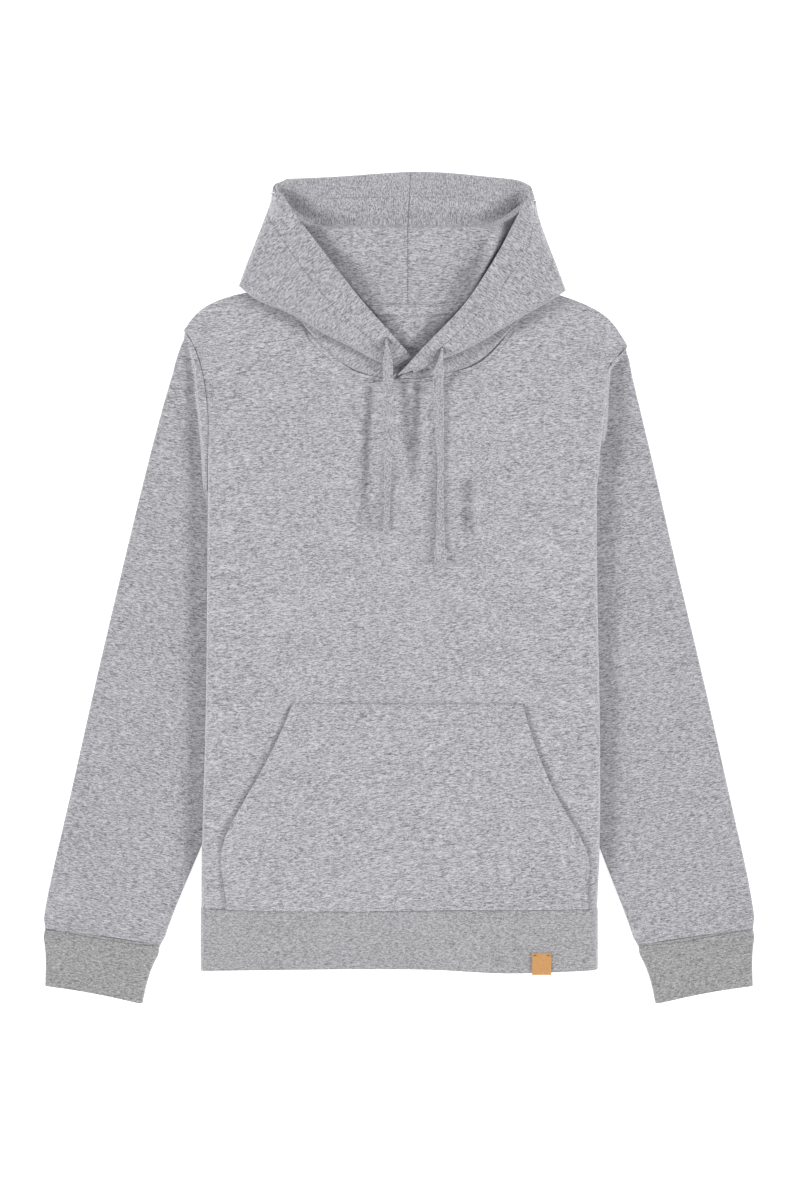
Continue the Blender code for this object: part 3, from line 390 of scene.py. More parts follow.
def cloth(name, node, finish, levels, grain=turned(0.0), move=None, edge=0.45):
    """A soft piece from a solid: its edges rounded by edge mm, its faces refined, then its folds moved in.

    grain gives the cloth's own coordinates, and move the shift that its folds make, both from a point in
    mm. levels is how many times each face is split in four.
    """
    shape = bmesh.new()
    shape.from_mesh(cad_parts[node].data)
    bmesh.ops.remove_doubles(shape, verts=shape.verts, dist=SAME_CORNER)
    bmesh.ops.join_triangles(
        shape,
        faces=shape.faces,
        angle_face_threshold=PAIR_BEND,
        angle_shape_threshold=PAIR_SKEW,
    )
    mesh = bpy.data.meshes.new(name)
    shape.to_mesh(mesh)
    shape.free()
    obj = bpy.data.objects.new(name, mesh)
    bpy.context.scene.collection.objects.link(obj)
    rim = obj.modifiers.new("rim", "BEVEL")
    rim.limit_method = "ANGLE"
    rim.angle_limit = RIM_ANGLE
    rim.width = edge * MM
    rim.segments = RIM_STEPS
    fine = obj.modifiers.new("fine", "SUBSURF")
    fine.levels = fine.render_levels = levels
    view = bpy.context.evaluated_depsgraph_get()
    refined = bpy.data.meshes.new_from_object(obj.evaluated_get(view))
    obj.modifiers.clear()
    obj.data = refined
    bpy.data.meshes.remove(mesh)
    refined.name = name
    refined.materials.clear()
    refined.materials.append(finish)
    refined.shade_smooth()
    stored = refined.attributes.new("grain", "FLOAT_VECTOR", "POINT")
    for vertex, value in zip(refined.vertices, stored.data):
        point = vertex.co / MM
        value.vector = grain(point)
        if move:
            vertex.co += move(point) * MM
    refined.update()
    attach(obj, "root")
    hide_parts(node)
    return obj


# Spun polyester sewing thread with a dull twist, a shade lighter than the fleece, or darkened as painted
# shade of sunk stitches and seam creases.
def thread_material(name, low, high):
    """Thread that runs from one grey to another along its twist."""
    made, nodes, shader = start_material(name, 0.75, 0.1)
    where = add(nodes, "ShaderNodeNewGeometry")
    twist = add(
        nodes,
        "ShaderNodeTexNoise",
        [(where.outputs["Position"], "Vector")],
        inputs={"Scale": 2600.0, "Detail": 2.0},
    )
    shade_and_relief(shader, twist.outputs["Fac"], (low, high), twist.outputs["Fac"], 0.4, 0.0001)
    return made


light_thread = thread_material("spun_thread_light", "#8E8D92", "#D0CFD5")
# Thread darkened as painted shade: its rows stand for the dark lines where stitches sink into the cloth.
shadowed_thread = thread_material("spun_thread_shadowed", "#4E4E52", "#828186")
# Near-black thread laid in the seams as painted shade: its rows draw the dark line of a seam's crease. It
# also sews the tag's corners.
deep_thread_and_seam_shade = thread_material("dark_spun_thread_seam_shade", "#38383B", "#5E5E62")  # deep in the seams


def shifted(path, offset):
    """A path in mm moved to its left by offset."""
    found = []
    for i, point in enumerate(path):
        way = (path[min(i + 1, len(path) - 1)] - path[max(i - 1, 0)]).normalized()
        found.append(point + Vector((-way.y, way.x)) * offset)
    return found


def seam_path(points):
    """A smooth path in mm through x, y pairs, with a point about every millimetre."""
    corners = [Vector(p) for p in points]
    length = sum((b - a).length for a, b in zip(corners, corners[1:]))
    return smooth_points(corners, max(int(length), 8))


def evenly(path, step):
    """Points at an equal distance along a path."""
    found, rest = [path[0]], step
    for a, b in zip(path, path[1:]):
        length = (b - a).length
        while rest <= length:
            found.append(a.lerp(b, rest / length))
            rest += step
        rest -= length
    return found


THREAD_SIDES = 6
FULL_WIDTH = (0.22, 0.78)  # the stretch of a stitch that has its full width, as shares of its length
HIGHEST_STEP = 2.0  # no stitch is laid across a higher step in the cloth than this


def stitches(name, under, paths, finish, pitch=3.5, width=0.5, sink=0.3):
    """Rows of stitches that lie on the cloth below: each is one short, rounded bit of thread.

    A stitch takes three quarters of the pitch and the gap after it the rest. sink is how far it lies in the
    cloth, as a share of half its width.
    """
    tree = tree_of(*[obj.data for obj in under])
    corners, faces = [], []
    for path in paths:
        quarters = evenly(path, pitch / 4)
        for a, b in zip(quarters[::4], quarters[3::4]):
            along = (b - a).normalized()
            low, _ = top_of(tree, a.x * MM, a.y * MM)
            far, up = top_of(tree, b.x * MM, b.y * MM)
            if low is None or far is None or abs(far.z - low.z) > HIGHEST_STEP * MM:
                continue
            side = Vector((-along.y, along.x, 0)) * width / 2 * MM
            rise = up * width / 2 * MM
            first = len(corners)
            corners += [low - rise * sink, far - rise * sink]
            for share in FULL_WIDTH:
                middle = low.lerp(far, share) + rise * (1 - sink)
                for k in range(THREAD_SIDES):
                    turn = 2 * math.pi / THREAD_SIDES * k
                    corners.append(middle + side * math.cos(turn) + rise * math.sin(turn))
            for k in range(THREAD_SIDES):
                k1 = first + 2 + k
                k2 = first + 2 + (k + 1) % THREAD_SIDES
                far1, far2 = k1 + THREAD_SIDES, k2 + THREAD_SIDES
                faces += [[first, k2, k1], [k1, k2, far2, far1], [first + 1, far1, far2]]
    mesh = bpy.data.meshes.new(name)
    mesh.from_pydata(corners, [], faces)
    mesh.materials.append(finish)
    mesh.shade_smooth()
    obj = bpy.data.objects.new(name, mesh)
    bpy.context.scene.collection.objects.link(obj)
    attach(obj, "root")
    return obj


NECKLINE = [
    (-96, 270), (-88.7, 256.5), (-69.4, 237.2), (-51, 224.9), (-34.7, 218.8), (-17.3, 215.2), (-4.1, 213.7),
    (11.2, 214.2), (32.6, 216.2), (47.9, 219.8), (69.4, 224.9), (89.8, 235.1), (103, 249.4), (116, 266),
]
BODY_SLANT = 5.0  # the courses rise a little to the right
body_front = cloth("front_panel", "body_front", fleece, 2, turned(BODY_SLANT), front_folds)

# The neckline's topstitching, in thread darkened as painted shade of its sunk stitches.
neck_row = stitches("neckline_topstitch", [body_front], [shifted(seam_path(NECKLINE), -3.6)], shadowed_thread)
hem_rows = stitches(
    "hem_coverstitch",
    [body_front],
    [shifted(seam_path(HEM_SEAM), -away) for away in (1.9, 5.4)],
    light_thread,
)
for side, sign in MIRROR.items():
    line = seam_path([(x, y) for y, x in ARMHOLE[side] if ARMHOLE_SEWN[0] < y < ARMHOLE_SEWN[1]])
    stitches(
            f"armhole_{side}_coverstitch",
            [body_front],
            [shifted(line, away * sign) for away in (2.6, 6.6)],
            light_thread,
        )
    if side == "left":
        # A dark row in the left armhole's seam, as painted shade of its crease.
        stitches("armhole_left_seam_shade", [body_front], [shifted(line, 0.1)], deep_thread_and_seam_shade, 2.0)

# ---- Drawcords ----
# Flat self-colour cotton cord, woven as a narrow tube and pressed flat, about 10.6 mm wide. Each free end
# leaves the tunnel on edge, by a worked slit beside the hood's rim, and lies down the front. The ends are
# bare, and the right one is turned up over itself.
CORD_WIDTH, CORD_THICK = 0.0106, 0.0026
CORD_AIR = 0.0004  # between a cord and the cloth below it
NECK_SURFACE = 0.0036  # the height that counts as the chest's above the neckline
# x, y and the height over the chest in metres, and how far the cord is turned: 0 lies flat, 1 is on edge.
CORD_KNOTS = {
    "left": [
        (-0.0126, 0.2530, 0.0062, 0.97),
        (-0.0123, 0.2460, 0.0094, 0.68),
        (-0.0118, 0.2380, 0.0094, 0.15),
        (-0.0114, 0.2290, 0.0069, 0.0),
        (-0.0110, 0.2190, 0.0029, 0.0),
        (-0.0108, 0.2090, 0.0006, 0.0),
        (-0.0107, 0.1970, 0.0, 0.0),
        (-0.0110, 0.1830, 0.0, 0.0),
        (-0.0112, 0.1600, 0.0, 0.0),
        (-0.0112, 0.1370, 0.0, 0.05),
        (-0.0114, 0.1190, 0.0, 0.15),
        (-0.0120, 0.0950, 0.0, 0.19),
        (-0.0126, 0.0750, 0.0, 0.21),
        (-0.0130, 0.0585, 0.0, 0.22),
    ],
    "right": [
        (0.0440, 0.2430, 0.0092, 0.97),
        (0.0430, 0.2360, 0.0121, 0.68),
        (0.0416, 0.2280, 0.0104, 0.15),
        (0.0406, 0.2190, 0.0059, 0.0),
        (0.0401, 0.2100, 0.0022, 0.0),
        (0.0400, 0.2000, 0.0004, 0.0),
        (0.0403, 0.1870, 0.0, 0.0),
        (0.0410, 0.1660, 0.0, 0.05),
        (0.0416, 0.1460, 0.0, 0.12),
        (0.0424, 0.1240, 0.0, 0.19),
        (0.0420, 0.1000, 0.0, 0.18),
        (0.0420, 0.0700, 0.0, 0.12),
        (0.0421, 0.0420, 0.0, 0.04),
        (0.0421, 0.0265, 0.0, 0.0),
    ],
}
ROUTE_POINTS = 36
NARROWEST = 0.6  # the share of its width that a cord keeps where it is turned
FELT_ACROSS = (-4, -2, 0, 2, 4)  # where the cloth's height is taken across a cord, in mm from its middle
END_FOLD, END_FOLD_WIDTH = 0.0147, 0.0126  # how much of the right cord's end is turned up, and its width
END_FOLD_SHIFT = (0.0003, -0.0002, 0.0009)  # from the cord's own end to the fold in it

# Woven cotton tape: matt and mottled, with fine ribs across it, drawn 2.6 mm apart so that they show.
cotton, nodes, shader = start_material("woven_cotton_tape", 0.9, 0.15)
where = add(nodes, "ShaderNodeNewGeometry")
ribs = add(
    nodes,
    "ShaderNodeTexWave",
    [(where.outputs["Position"], "Vector")],
    bands_direction="Y",
    inputs={"Scale": 120.0, "Distortion": 2.0, "Detail": 1.0},
)
fibres = add(
    nodes,
    "ShaderNodeTexNoise",
    [(where.outputs["Position"], "Vector")],
    inputs={"Scale": 560.0, "Detail": 4.0, "Roughness": 0.75},
)
mottle = add(
    nodes,
    "ShaderNodeMapRange",
    [(fibres.outputs["Fac"], "Value")],
    inputs={"From Min": 0.37, "From Max": 0.63},
)
both = add(
    nodes,
    "ShaderNodeMath",
    [(ribs.outputs["Fac"], 0), (fibres.outputs["Fac"], 1)],
    operation="ADD",
)
greys = ("#6C6C70", "#BBBABF")
shade_and_relief(shader, mottle.outputs["Result"], greys, both.outputs["Value"], 0.5, 0.0003)


def flat_tape(name, width, places, angles, shares):
    """A length of the flat cord through the places, turned about its own line by the angles.

    shares is how wide it lies at each place, where its two edges curl in towards each other.
    """
    line = bpy.data.curves.new(name, "CURVE")
    line.dimensions = "3D"
    line.twist_mode = "Z_UP"
    line.bevel_depth = CORD_THICK / 2
    line.bevel_resolution = 3
    line.extrude = (width - CORD_THICK) / 2
    line.use_fill_caps = True
    spline = line.splines.new("POLY")
    spline.points.add(len(places) - 1)
    for point, place, angle, share in zip(spline.points, places, angles, shares):
        point.co = (*place, 1.0)
        point.tilt = math.pi / 2 - angle
        point.radius = share
    line.materials.append(cotton)
    made = bpy.data.objects.new(name, line)
    bpy.context.scene.collection.objects.link(made)
    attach(made, "root")
    return made


# The cords rest on the finished cloth, which is a little fuller than the solid under it, and above the
# neckline they keep their own heights.
chest = tree_of(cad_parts["body_front"].data)
worn_front = tree_of(body_front.data)
for side, knots in CORD_KNOTS.items():
    name = "drawcord_" + side
    route = smooth_points([Vector(knot[:3]) for knot in knots], ROUTE_POINTS)
    smooth_turns = smooth_points([Vector((knot[3], 0)) for knot in knots], ROUTE_POINTS)
    turns = [max(turn.x, 0.0) for turn in smooth_turns]
    angles = [math.pi / 2 * turn for turn in turns]
    shares = [max(1.0 - 2.0 * turn, NARROWEST) for turn in turns]
    places = []
    for place, angle, share in zip(route, angles, shares):
        under, _ = top_of(chest, place.x, place.y, NECK_SURFACE)
        half = CORD_THICK / 2 + (CORD_WIDTH - CORD_THICK) / 2 * math.sin(angle)
        hung = under.z + place.z + front_folds(place / MM).z * MM
        below = [top_of(worn_front, place.x + off * MM, place.y, 0.0)[0].z for off in FELT_ACROSS]
        height = max(hung, *below) + CORD_AIR + half * share
        places.append(Vector((place.x, place.y, height)))
    tape = flat_tape(name + "_tape", CORD_WIDTH, places, angles, shares)
    if side == "right":
        low_end = places[-1] + Vector(END_FOLD_SHIFT)
        ends = [low_end + Vector((0, END_FOLD, 0)), low_end]
        flat_tape(name + "_end_fold", END_FOLD_WIDTH, ends, [0.0, 0.0], [1.0, 1.0])
    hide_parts(name)

# ---- Back of the body ----
# One panel of the same fleece. It lies on the floor, shows below the hood's back seam, and its sides
# fold forward beneath the front's. Between the hood's two rims it puffs up a little.
RIM = {
    "left": [(406.5, -124.4), (361.6, -90.8), (294.3, -38.8), (236.6, 14.3), (222.0, 27.0)],
    "right": [(404.0, 133.6), (362.6, 114.2), (294.3, 71.4), (236.1, 15.3), (214.2, -4.1)],
}
NECK_PUFF = 7.8
# The puff grows inwards from each rim, below the flaps' height, and from its top and its foot.
PUFF_IN, PUFF_UNDER, PUFF_TOP, PUFF_FOOT = (8, -2), (10.5, 8.5), (330, 290), (236, 252)


def past_rim(side, point):
    """How far a point lies outside the hood's rim on one side, level, in mm; inside is negative."""
    return (along_table(RIM[side], point.y) - point.x) * MIRROR[side]


def neck_puff(point):
    """The rise of what lies at the back of the neck; it doesn't reach the flaps above."""
    across = ramp(past_rim("left", point), *PUFF_IN) * ramp(past_rim("right", point), *PUFF_IN)
    across *= ramp(point.z, *PUFF_UNDER)
    return Vector((0, 0, NECK_PUFF * across * ramp(point.y, *PUFF_TOP) * ramp(point.y, *PUFF_FOOT)))


body_back = cloth("back_panel", "body_back", fleece, 2, turned(BODY_SLANT), neck_puff)

# ---- Sleeves ----
# Each is one piece, set in at the armhole with its seam under the arm, and lies flat as a tube with a
# little air in it. The courses run across the sleeve, so its streaks lie at a slant.
SLEEVE_SLANT = 9.5
SLEEVE_FOLDS = [
    (-262, 190, -226, 120, 0.7, 9),
    (-246, 110, -222, 60, -0.6, 8),
    (-290, -40, -250, -90, 0.5, 12),
    (-322, -180, -268, -150, -0.5, 13),
    (-340, -270, -300, -240, 0.5, 11),
    (-330, -300, -280, -320, -0.5, 9),
]
CUFF_SEAM = [Vector(p) for p in ((-365, -346.5), (-320, -355), (-280, -362), (-240, -365.5))]
CUFF_MIDDLE, CUFF_HALF = -303.0, 62.0
PINCH_REACH = (11.0, 0.0)  # the elastic draws the cloth in from this far off
GROOVE_DEPTH, TOP_SIDE = 0.9, (3, 5)  # the cuff's seam is a groove in the upper side only
SLEEVE_PINCH = 2.4
SLEEVE_UNDER = 2.2  # the cloth below this height lies flat on the floor
# Its waves and folds grow from its sides, foot and top, and none goes deeper than SLEEVE_LOWEST.
SLEEVE_LOOSE, SLEEVE_LOWEST = 0.6, -1.0
SLEEVE_SIDES, SLEEVE_FOOT, SLEEVE_TOP = (2.4, 5.0), (-338, -315), (262, 236)
LET_OUT, LET_OUT_TOP, LET_OUT_SIDE = 1.2, (214, 236), (3, 12)  # it lies a little further out at the shoulder


def distance_to(line, point):
    """How far a point lies from a line in mm, seen from above."""
    flat = Vector((point.x, point.y))
    found = []
    for a, b in zip(line, line[1:]):
        share = min(max((flat - a).dot(b - a) / (b - a).length_squared, 0.0), 1.0)
        found.append((flat - a.lerp(b, share)).length)
    return min(found)


def cuff_pinch(seen, mirror, depth):
    """The pull of the elastic at a cuff's seam: sideways at its corners, and down into the seam."""
    away = distance_to(CUFF_SEAM, seen)
    near = ramp(away, *PINCH_REACH)
    corner = min(max((seen.x - CUFF_MIDDLE) / CUFF_HALF, -1.0), 1.0)
    groove = GROOVE_DEPTH * ramp(away, *SEAM_DIP) * ramp(seen.z, *TOP_SIDE)
    return Vector((-depth * corner * abs(corner) ** 3 * near * mirror, 0, -groove))


def sleeve_folds(mirror, seed):
    """How the points of one sleeve move: its folds, and what the cuff's and armhole's seams do to it."""

    def move(point):
        seen = Vector((point.x * mirror, point.y, point.z))
        pinch = cuff_pinch(seen, mirror, SLEEVE_PINCH) + close_shoulder(point)
        if point.z < SLEEVE_UNDER:
            return pinch
        total = sum(fold(seen, *one) for one in SLEEVE_FOLDS)
        loose = SLEEVE_LOOSE * wave(point, 40, 60, seed)
        inner = ramp(point.z, *SLEEVE_SIDES) * ramp(point.y, *SLEEVE_FOOT) * ramp(point.y, *SLEEVE_TOP)
        rise = max((total + loose) * inner, SLEEVE_LOWEST) + armhole_rise(point)
        let_out = LET_OUT * ramp(point.y, *LET_OUT_TOP) * ramp(past_armhole(point), *LET_OUT_SIDE)
        return pinch + Vector((close_armhole(point) - let_out * mirror, 0, rise))

    return move


for side, mirror in MIRROR.items():
    piece = cloth(
        f"sleeve_{side}_cloth",
        "sleeve_" + side,
        shaded_fleece,
        3,
        turned(-SLEEVE_SLANT * mirror),
        sleeve_folds(mirror, 7.0 + mirror),
    )

# ---- Cuffs and waistband ----
# Elastic rib, knitted finer than the fleece and folded double, sewn on with a covered seam. Its ribs
# run away from the seam, and it is a shade darker and smoother than the body.
rib = fleece_material("fine_elastic_rib", "#525253", "#B3B3B3", (3.6, 1.4), 1.1)
waist_rib = fleece_material("fine_elastic_rib_waist", "#5A5A5C", "#BDBCBF", (3.6, 1.4), 1.05)
CUFF_SLANT = 10.0
CUFF_PINCH, CUFF_MEET, CUFF_PULL = 3.4, (3.0, 0.3), 0.8  # near its seam a cuff is drawn in, and up to it
BAND_LOOSE, BAND_PULL, BAND_DEPTH = 0.5, 0.9, 0.8  # the band's waves, its pull to the seam, its dip there
BAND_TOP_SIDE = (3, 6)  # its waves and its dip are in the upper side only


def cuff_folds(mirror):
    """How the points of one cuff move: its corners drawn in, and its edge drawn to the seam."""

    def move(point):
        seen = Vector((point.x * mirror, point.y, point.z))
        meet = ramp(distance_to(CUFF_SEAM, seen), *CUFF_MEET)
        return cuff_pinch(seen, mirror, CUFF_PINCH) + Vector((0, CUFF_PULL * meet, 0))

    return move


def band_folds(point):
    """How a point of the waistband moves: slight waves, and its edge drawn to the seam and dipped."""
    meet = ramp(along_table(HEM_SEAM, point.x) - point.y, *SEAM_DIP)
    upper = ramp(point.z, *BAND_TOP_SIDE)
    loose = BAND_LOOSE * wave(point, 34, 30, 17.0) * upper
    return Vector((0, BAND_PULL * meet, loose * (1 - meet) - BAND_DEPTH * meet * upper))


for side, mirror in MIRROR.items():
    piece = cloth(
        f"cuff_{side}_rib",
        "cuff_" + side,
        rib,
        2,
        turned(-CUFF_SLANT * mirror),
        cuff_folds(mirror),
        edge=0.9,
    )
    line = seam_path([(p.x * mirror, p.y) for p in CUFF_SEAM])
    row = stitches(
        f"cuff_{side}_coverstitch",
        [bpy.data.objects[f"sleeve_{side}_cloth"]],
        [shifted(line, away * mirror) for away in (3.0, 6.0)],
        light_thread,
    )
    # A dark row in each cuff's seam, as painted shade of its crease.
    seam_shade = stitches(
        f"cuff_{side}_seam",
        [bpy.data.objects[f"sleeve_{side}_cloth"], piece],
        [shifted(line, -0.2 * mirror)],
        deep_thread_and_seam_shade,
        2.0,
    )
band = cloth("waistband_rib", "waistband", waist_rib, 2, move=band_folds, edge=1.0)

# ---- Pocket ----
# One piece over the belly, hemmed at its two slanted openings and sewn down along its top with two
# rows of stitches.
POCKET_OPENINGS = {
    "left": [(-108, -119), (-118.3, -143), (-136.7, -180), (-157.1, -215), (-166.5, -232), (-182, -259)],
    "right": [(125.5, -119), (132.9, -143), (145.6, -180), (161.5, -215), (171.5, -232), (193.5, -260)],
}
POCKET_FOOT = {
    "left": [(-183.1, -263), (-182.1, -285), (-176.5, -324)],
    "right": [(195, -263), (194.8, -285), (192.8, -324)],
}
POCKET_TOP = -116.5
POCKET_SIDES_TOP = -240  # the seams at its two sides lie below this
SEWN_DEPTH, SEWN_TOP, SEWN_SIDE = 1.3, 5.0, (4.5, 0.3)  # how far the edges are pressed down, and how near


def pocket_folds(point):
    """The front's own folds, and the pocket's edges pressed down where they are sewn."""
    sewn = ramp(point.y, POCKET_TOP - SEWN_TOP, POCKET_TOP)
    for line in POCKET_FOOT.values():
        if point.y < POCKET_SIDES_TOP:
            sewn = max(sewn, ramp(distance_to([Vector(p) for p in line], point), *SEWN_SIDE))
    return front_folds(point) - Vector((0, 0, SEWN_DEPTH * sewn))


pocket = cloth("pocket_cloth", "pocket", fleece, 3, turned(BODY_SLANT), pocket_folds)
top_line = seam_path([(-107, -117), (0, -117), (124, -117)])
rows, edges = [shifted(top_line, -7.6)], [shifted(top_line, -0.7)]
for side, sign in MIRROR.items():
    opening = seam_path(POCKET_OPENINGS[side])
    rows += [shifted(opening, 18.0 * sign), shifted(opening, 21.0 * sign)]
    foot = seam_path(POCKET_FOOT[side])
    edges.append(shifted(foot, 0.4 * sign))
    rows.append(shifted(foot, 5.0 * sign))
pocket_rows = stitches("pocket_topstitch", [pocket], rows, light_thread, width=0.4)
# Dark rows along the pocket's sewn edges, as painted shade of the crease there.
pocket_crease_shades = stitches("pocket_edge_crease_shade", [pocket], edges, shadowed_thread, 2.4)
hem_line = seam_path([(-174, -327), (-50, -329.2), (60, -327.6), (190, -327)])
pocket_hem = stitches(
    "pocket_hem_coverstitch", [pocket], [shifted(hem_line, away) for away in (1.9, 5.4)], light_thread
)
# A dark row in the waistband's seam, as painted shade of its crease.
waist_seam_shade = stitches(
    "waistband_seam_shade",
    [pocket, body_front, band],
    [shifted(seam_path(HEM_SEAM), 0.3)],
    deep_thread_and_seam_shade,
    2.0,
)

# ---- Hood ----
# Two panels of one layer, joined by the seam from the nape to the rim. The rim is turned in as the
# cords' tunnel, and the right front end laps over the left one.
CREST_Y = 365.5  # the ridge between the hood's back and its crown
HOOD_SLANT = {"left": 40.0, "right": -36.0}
RIM_EDGE = -0.5  # from here outwards a side shows its outer face


def hood_grain(side):
    """The courses of one side: at a slant on its outer face, and straight on the crown and the back."""
    outside, crown, back = turned(HOOD_SLANT[side]), turned(90.0), turned(0.0)

    def grain(point):
        if past_rim(side, point) > RIM_EDGE:
            return outside(point)
        return crown(point) if point.y > CREST_Y else back(point)

    return grain


# The tunnel's stitch line on the outside, and where the rim runs, from the top corner to the V.
TUNNEL_LINE = {
    "left": [(-137, 386), (-134.6, 380), (-109, 341), (-86, 310), (-63.2, 284), (-31.6, 256.5), (-22, 248)],
    "right": [(137, 372), (129.5, 343.2), (107, 310.6), (95, 293.3), (81.6, 281), (54, 255), (43, 246)],
}
CENTRE_SEAM = [(423.5, 12.0), (364.0, 9.0), (283.0, 9.0)]  # y and x
SIDE_TUCK = (107.0, 369.0, 84.5, 303.0, 8.0, 6.5)  # a narrow fold at the right end of the ridge
# Where the crown meets a side's outer fold, and how far the crown's cloth is drawn out there.
CORNER = {"left": (-124.6, 404.5, 4.4), "right": (135.8, 396.6, 2.2)}
CORNER_GAP = 0.9  # how far each of the two is drawn towards the other there
FLAP_TIP = (-3.0, 216.0)  # the end of the right side, which laps over the left one
TIP_DEPTH, TIP_PULL = 3.6, 7.0  # how far the tip is pressed down, and its lower edge drawn out
TUNNEL_DEPTH, TUNNEL_WIDTH = 0.7, 2.2  # the groove along the tunnel's stitches
CENTRE_DEPTH, CENTRE_WIDTH, CENTRE_PULL = 0.8, 1.7, 0.35  # the centre seam's groove, and its two edges' pull
SIDE_LOOSE, CROWN_LOOSE = 0.9, 0.8  # the height of the waves
RIDGE_PULL = 3.0  # how far the ridge leans towards the crown


def hood_folds(side):
    """How the points of one side of the hood move: its corner, its rim, its seams and its waves."""
    line = [Vector(p) for p in TUNNEL_LINE[side]]
    outward = -MIRROR[side]
    *corner, drawn_out = CORNER[side]

    def tip_move(point):
        """The right side's end, pressed down on the left one, and its lower edge drawn out to the tip."""
        away = (Vector((point.x, point.y)) - Vector(FLAP_TIP)).length
        pressed = ramp(away, 34.0, 4.0) * ramp(point.z, 8.0, 12.0)
        drawn = ramp(point.x, 17.0, 7.0) * ramp(point.z, 9.0, 5.0) * ramp(point.y, 226.0, 221.0)
        return Vector((-TIP_PULL * drawn, 0, -TIP_DEPTH * pressed))

    def move(point):
        rim = past_rim(side, point)
        at_corner = ramp((Vector((point.x, point.y)) - Vector(corner)).length, 12.0, 3.0)
        above = ramp(point.y - corner[1], -2.2, -0.2)
        moved = Vector((drawn_out * outward * at_corner * (0.38 + 0.62 * above), 0, 0)) + neck_puff(point)
        moved.y += CORNER_GAP * at_corner * (1.0 - 2.0 * above) * ramp(rim, -1.5, 0.5)
        if side == "right":
            moved += tip_move(point)
            moved.z += fold(point, *SIDE_TUCK) * ramp(rim, RIM_EDGE, -3.5)
        if rim > RIM_EDGE:
            rise = -TUNNEL_DEPTH * math.exp(-((distance_to(line, point) / TUNNEL_WIDTH) ** 2))
            rise += SIDE_LOOSE * wave(point, 24, 30, 5.0 + outward)
            moved.z += rise * ramp(point.z, 12.0, 15.0) * ramp(rim, 2.0, 12.0)
            return moved
        seam_shade = math.exp(-(((point.x - along_table(CENTRE_SEAM, point.y)) / CENTRE_WIDTH) ** 2))
        wavy = CROWN_LOOSE * wave(point, 26, 16, 9.0)
        moved.z += wavy * ramp(point.y, 296, 315) * ramp(rim, 0.0, -14.0) - CENTRE_DEPTH * seam_shade
        ridge = ramp(point.z, 9.5, 14.0) * ramp(point.y, 338, 361) * ramp(point.y, 372, 368)
        moved.x -= CENTRE_PULL * outward * seam_shade
        moved.y += RIDGE_PULL * ridge * ramp(rim, 0, -9)
        return moved

    return move


for side in ("left", "right"):
    piece = cloth(
        f"hood_{side}_cloth",
        "hood_" + side,
        shaded_fleece,
        3,
        hood_grain(side),
        hood_folds(side),
        edge=0.5,
    )
    # The tunnel's stitches, in thread darkened as painted shade of their sunk line.
    row = stitches(f"hood_{side}_tunnel_stitch", [piece], [seam_path(TUNNEL_LINE[side])], shadowed_thread)
both_sides = [bpy.data.objects["hood_left_cloth"], bpy.data.objects["hood_right_cloth"]]
# The crown's tunnel stitches, in thread darkened as painted shade of their sunk line.
stitches(
    "hood_crown_tunnel_stitch",
    both_sides,
    [seam_path([(-98, 396), (-40, 398.5), (4, 399.5)]), seam_path([(14, 399.5), (60, 398), (108, 393)])],
    shadowed_thread,
    width=0.4,
)
# A dark row along the hood's centre seam, as painted shade of its groove.
stitches(
    "hood_centre_seam_shade",
    both_sides,
    [seam_path([(11.9, 422.5), (9.0, 366.0), (9.0, 330.0), (9.0, 291.0)])],
    deep_thread_and_seam_shade,
    2.0,
)
# The worked slits that the drawcords leave the tunnel by, drawn in darkened thread as painted shade of the
# open slits.
stitches(
    "drawcord_slit_shade_stitch",
    both_sides,
    [
        seam_path([(-16.2, 249), (-15.2, 253.5), (-12.8, 255.8), (-9.6, 253), (-6.0, 248.0)]),
        seam_path([(47.6, 239), (46.6, 243.5), (44.2, 245.8), (39.6, 241.5), (35.6, 235.0)]),
    ],
    shadowed_thread,
    pitch=1.6,
    width=0.9,
)

slack = cloth("hood_slack_cloth", "hood_tucked_slack", shaded_fleece, 1, turned(90.0), edge=0.6)

# ---- Neck tape ----
# A strip of the body's own jersey over the seam at the back of the neck, sewn down with a row of
# stitches along each edge. It shows on the back panel, between the hood's two rims.
tape = cloth("neck_tape_cloth", "neck_tape", fleece, 2, move=neck_puff, edge=0.2)
nape = seam_path([(-58, 289), (-25, 284.5), (9, 283), (45, 284.5), (77, 289)])
# The tape's two rows, in thread darkened as painted shade of their sunk stitches.
tape_rows = stitches("neck_tape_stitch", [tape], [shifted(nape, 4.2), shifted(nape, -4.2)], shadowed_thread)

# ---- Hem tag ----
# A small blank tag of washable paper, folded over the waistband's edge and stitched at its corners. The
# paper is matt, in a cork colour, with darker and lighter flecks.
cork, nodes, shader = start_material("washable_cork_paper", 0.75)
where = add(nodes, "ShaderNodeNewGeometry")
flecks = add(
    nodes,
    "ShaderNodeTexNoise",
    [(where.outputs["Position"], "Vector")],
    inputs={"Scale": 900.0, "Detail": 4.0},
)
shade_and_relief(shader, flecks.outputs["Fac"], ("#9A6A3C", "#D9A66B"), flecks.outputs["Fac"], 0.3, 0.0002)
tag = cloth("hem_tag_paper", "hem_tag", cork, 2, edge=0.2)
corner_stitches = stitches(
    "hem_tag_stitch",
    [tag],
    [seam_path([(137.2, -373.6), (139.4, -373.6)]), seam_path([(151.2, -373.6), (153.4, -373.6)])],
    deep_thread_and_seam_shade,
    pitch=2.6,
    width=1.3,
)

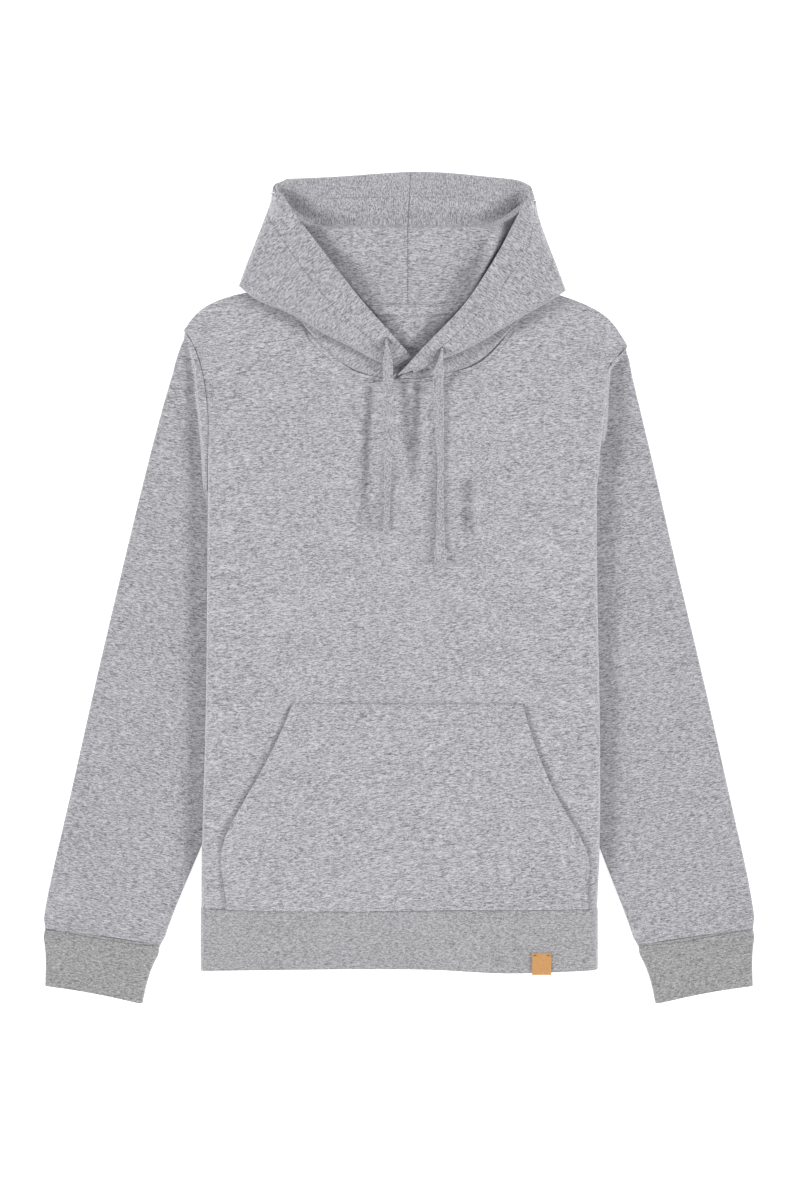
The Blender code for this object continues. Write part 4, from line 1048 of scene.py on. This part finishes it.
# ---- Floor and light ----
# A wide sheet of white paper under the hoodie, lit so evenly that it shows no edge. Soft light comes from
# all round, and four lamps give the cloth its shadows.
FLOOR = 40.0  # so far out that no side view shows its edge
FLOOR_DROP = 0.0005  # it lies just below the cloth
floor_mesh = bpy.data.meshes.new("floor")
floor_mesh.from_pydata(
    [(-FLOOR, -FLOOR, 0), (FLOOR, -FLOOR, 0), (FLOOR, FLOOR, 0), (-FLOOR, FLOOR, 0)],
    [],
    [[0, 1, 2, 3]],
)
floor = bpy.data.objects.new("floor", floor_mesh)
floor.location.z = -FLOOR_DROP
bpy.context.scene.collection.objects.link(floor)
paper, _, shader = start_material("white_seamless_paper", 0.9)
shader.inputs["Base Color"].default_value = linear("#FBFBFC")
shader.inputs["Emission Color"].default_value = linear("#FFFFFF")
shader.inputs["Emission Strength"].default_value = 0.5
floor_mesh.materials.append(paper)

world = bpy.data.worlds.new("soft_room")
world.use_nodes = True
world.node_tree.nodes["Background"].inputs["Color"].default_value = linear("#FFFFFF")
world.node_tree.nodes["Background"].inputs["Strength"].default_value = 0.42
bpy.context.scene.world = world
bpy.context.scene.view_settings.view_transform = "Standard"

# Two wide lamps stand low at the sides, so that each step of the cloth has a soft shadow. Two weak ones
# stand behind the hood and in front of the hem. Of each: its bearing in degrees, clockwise from the hood,
# its height in degrees over the floor, and its strength.
LAMP_SPREAD = 17.0  # degrees; how wide a lamp looks from the floor
LAMP_AWAY, LAMP_UP = 2.0, 1.0  # metres; they only keep the lamps clear of the hoodie
LAMPS = {
    "lamp_left": (-90.0, 21.0, 3.05),
    "lamp_right": (90.0, 21.0, 3.05),
    "lamp_behind": (0.0, 42.0, 0.4),
    "lamp_front": (180.0, 24.0, 0.7),
}
for name, (bearing, height, power) in LAMPS.items():
    data = bpy.data.lights.new(name, "SUN")
    data.angle = math.radians(LAMP_SPREAD)
    data.energy = power
    lamp = bpy.data.objects.new(name, data)
    bpy.context.scene.collection.objects.link(lamp)
    turn = math.radians(bearing)
    lamp.rotation_euler = (math.radians(height - 90.0), 0.0, -turn)
    lamp.location = (LAMP_AWAY * math.sin(turn), LAMP_AWAY * math.cos(turn), LAMP_UP)
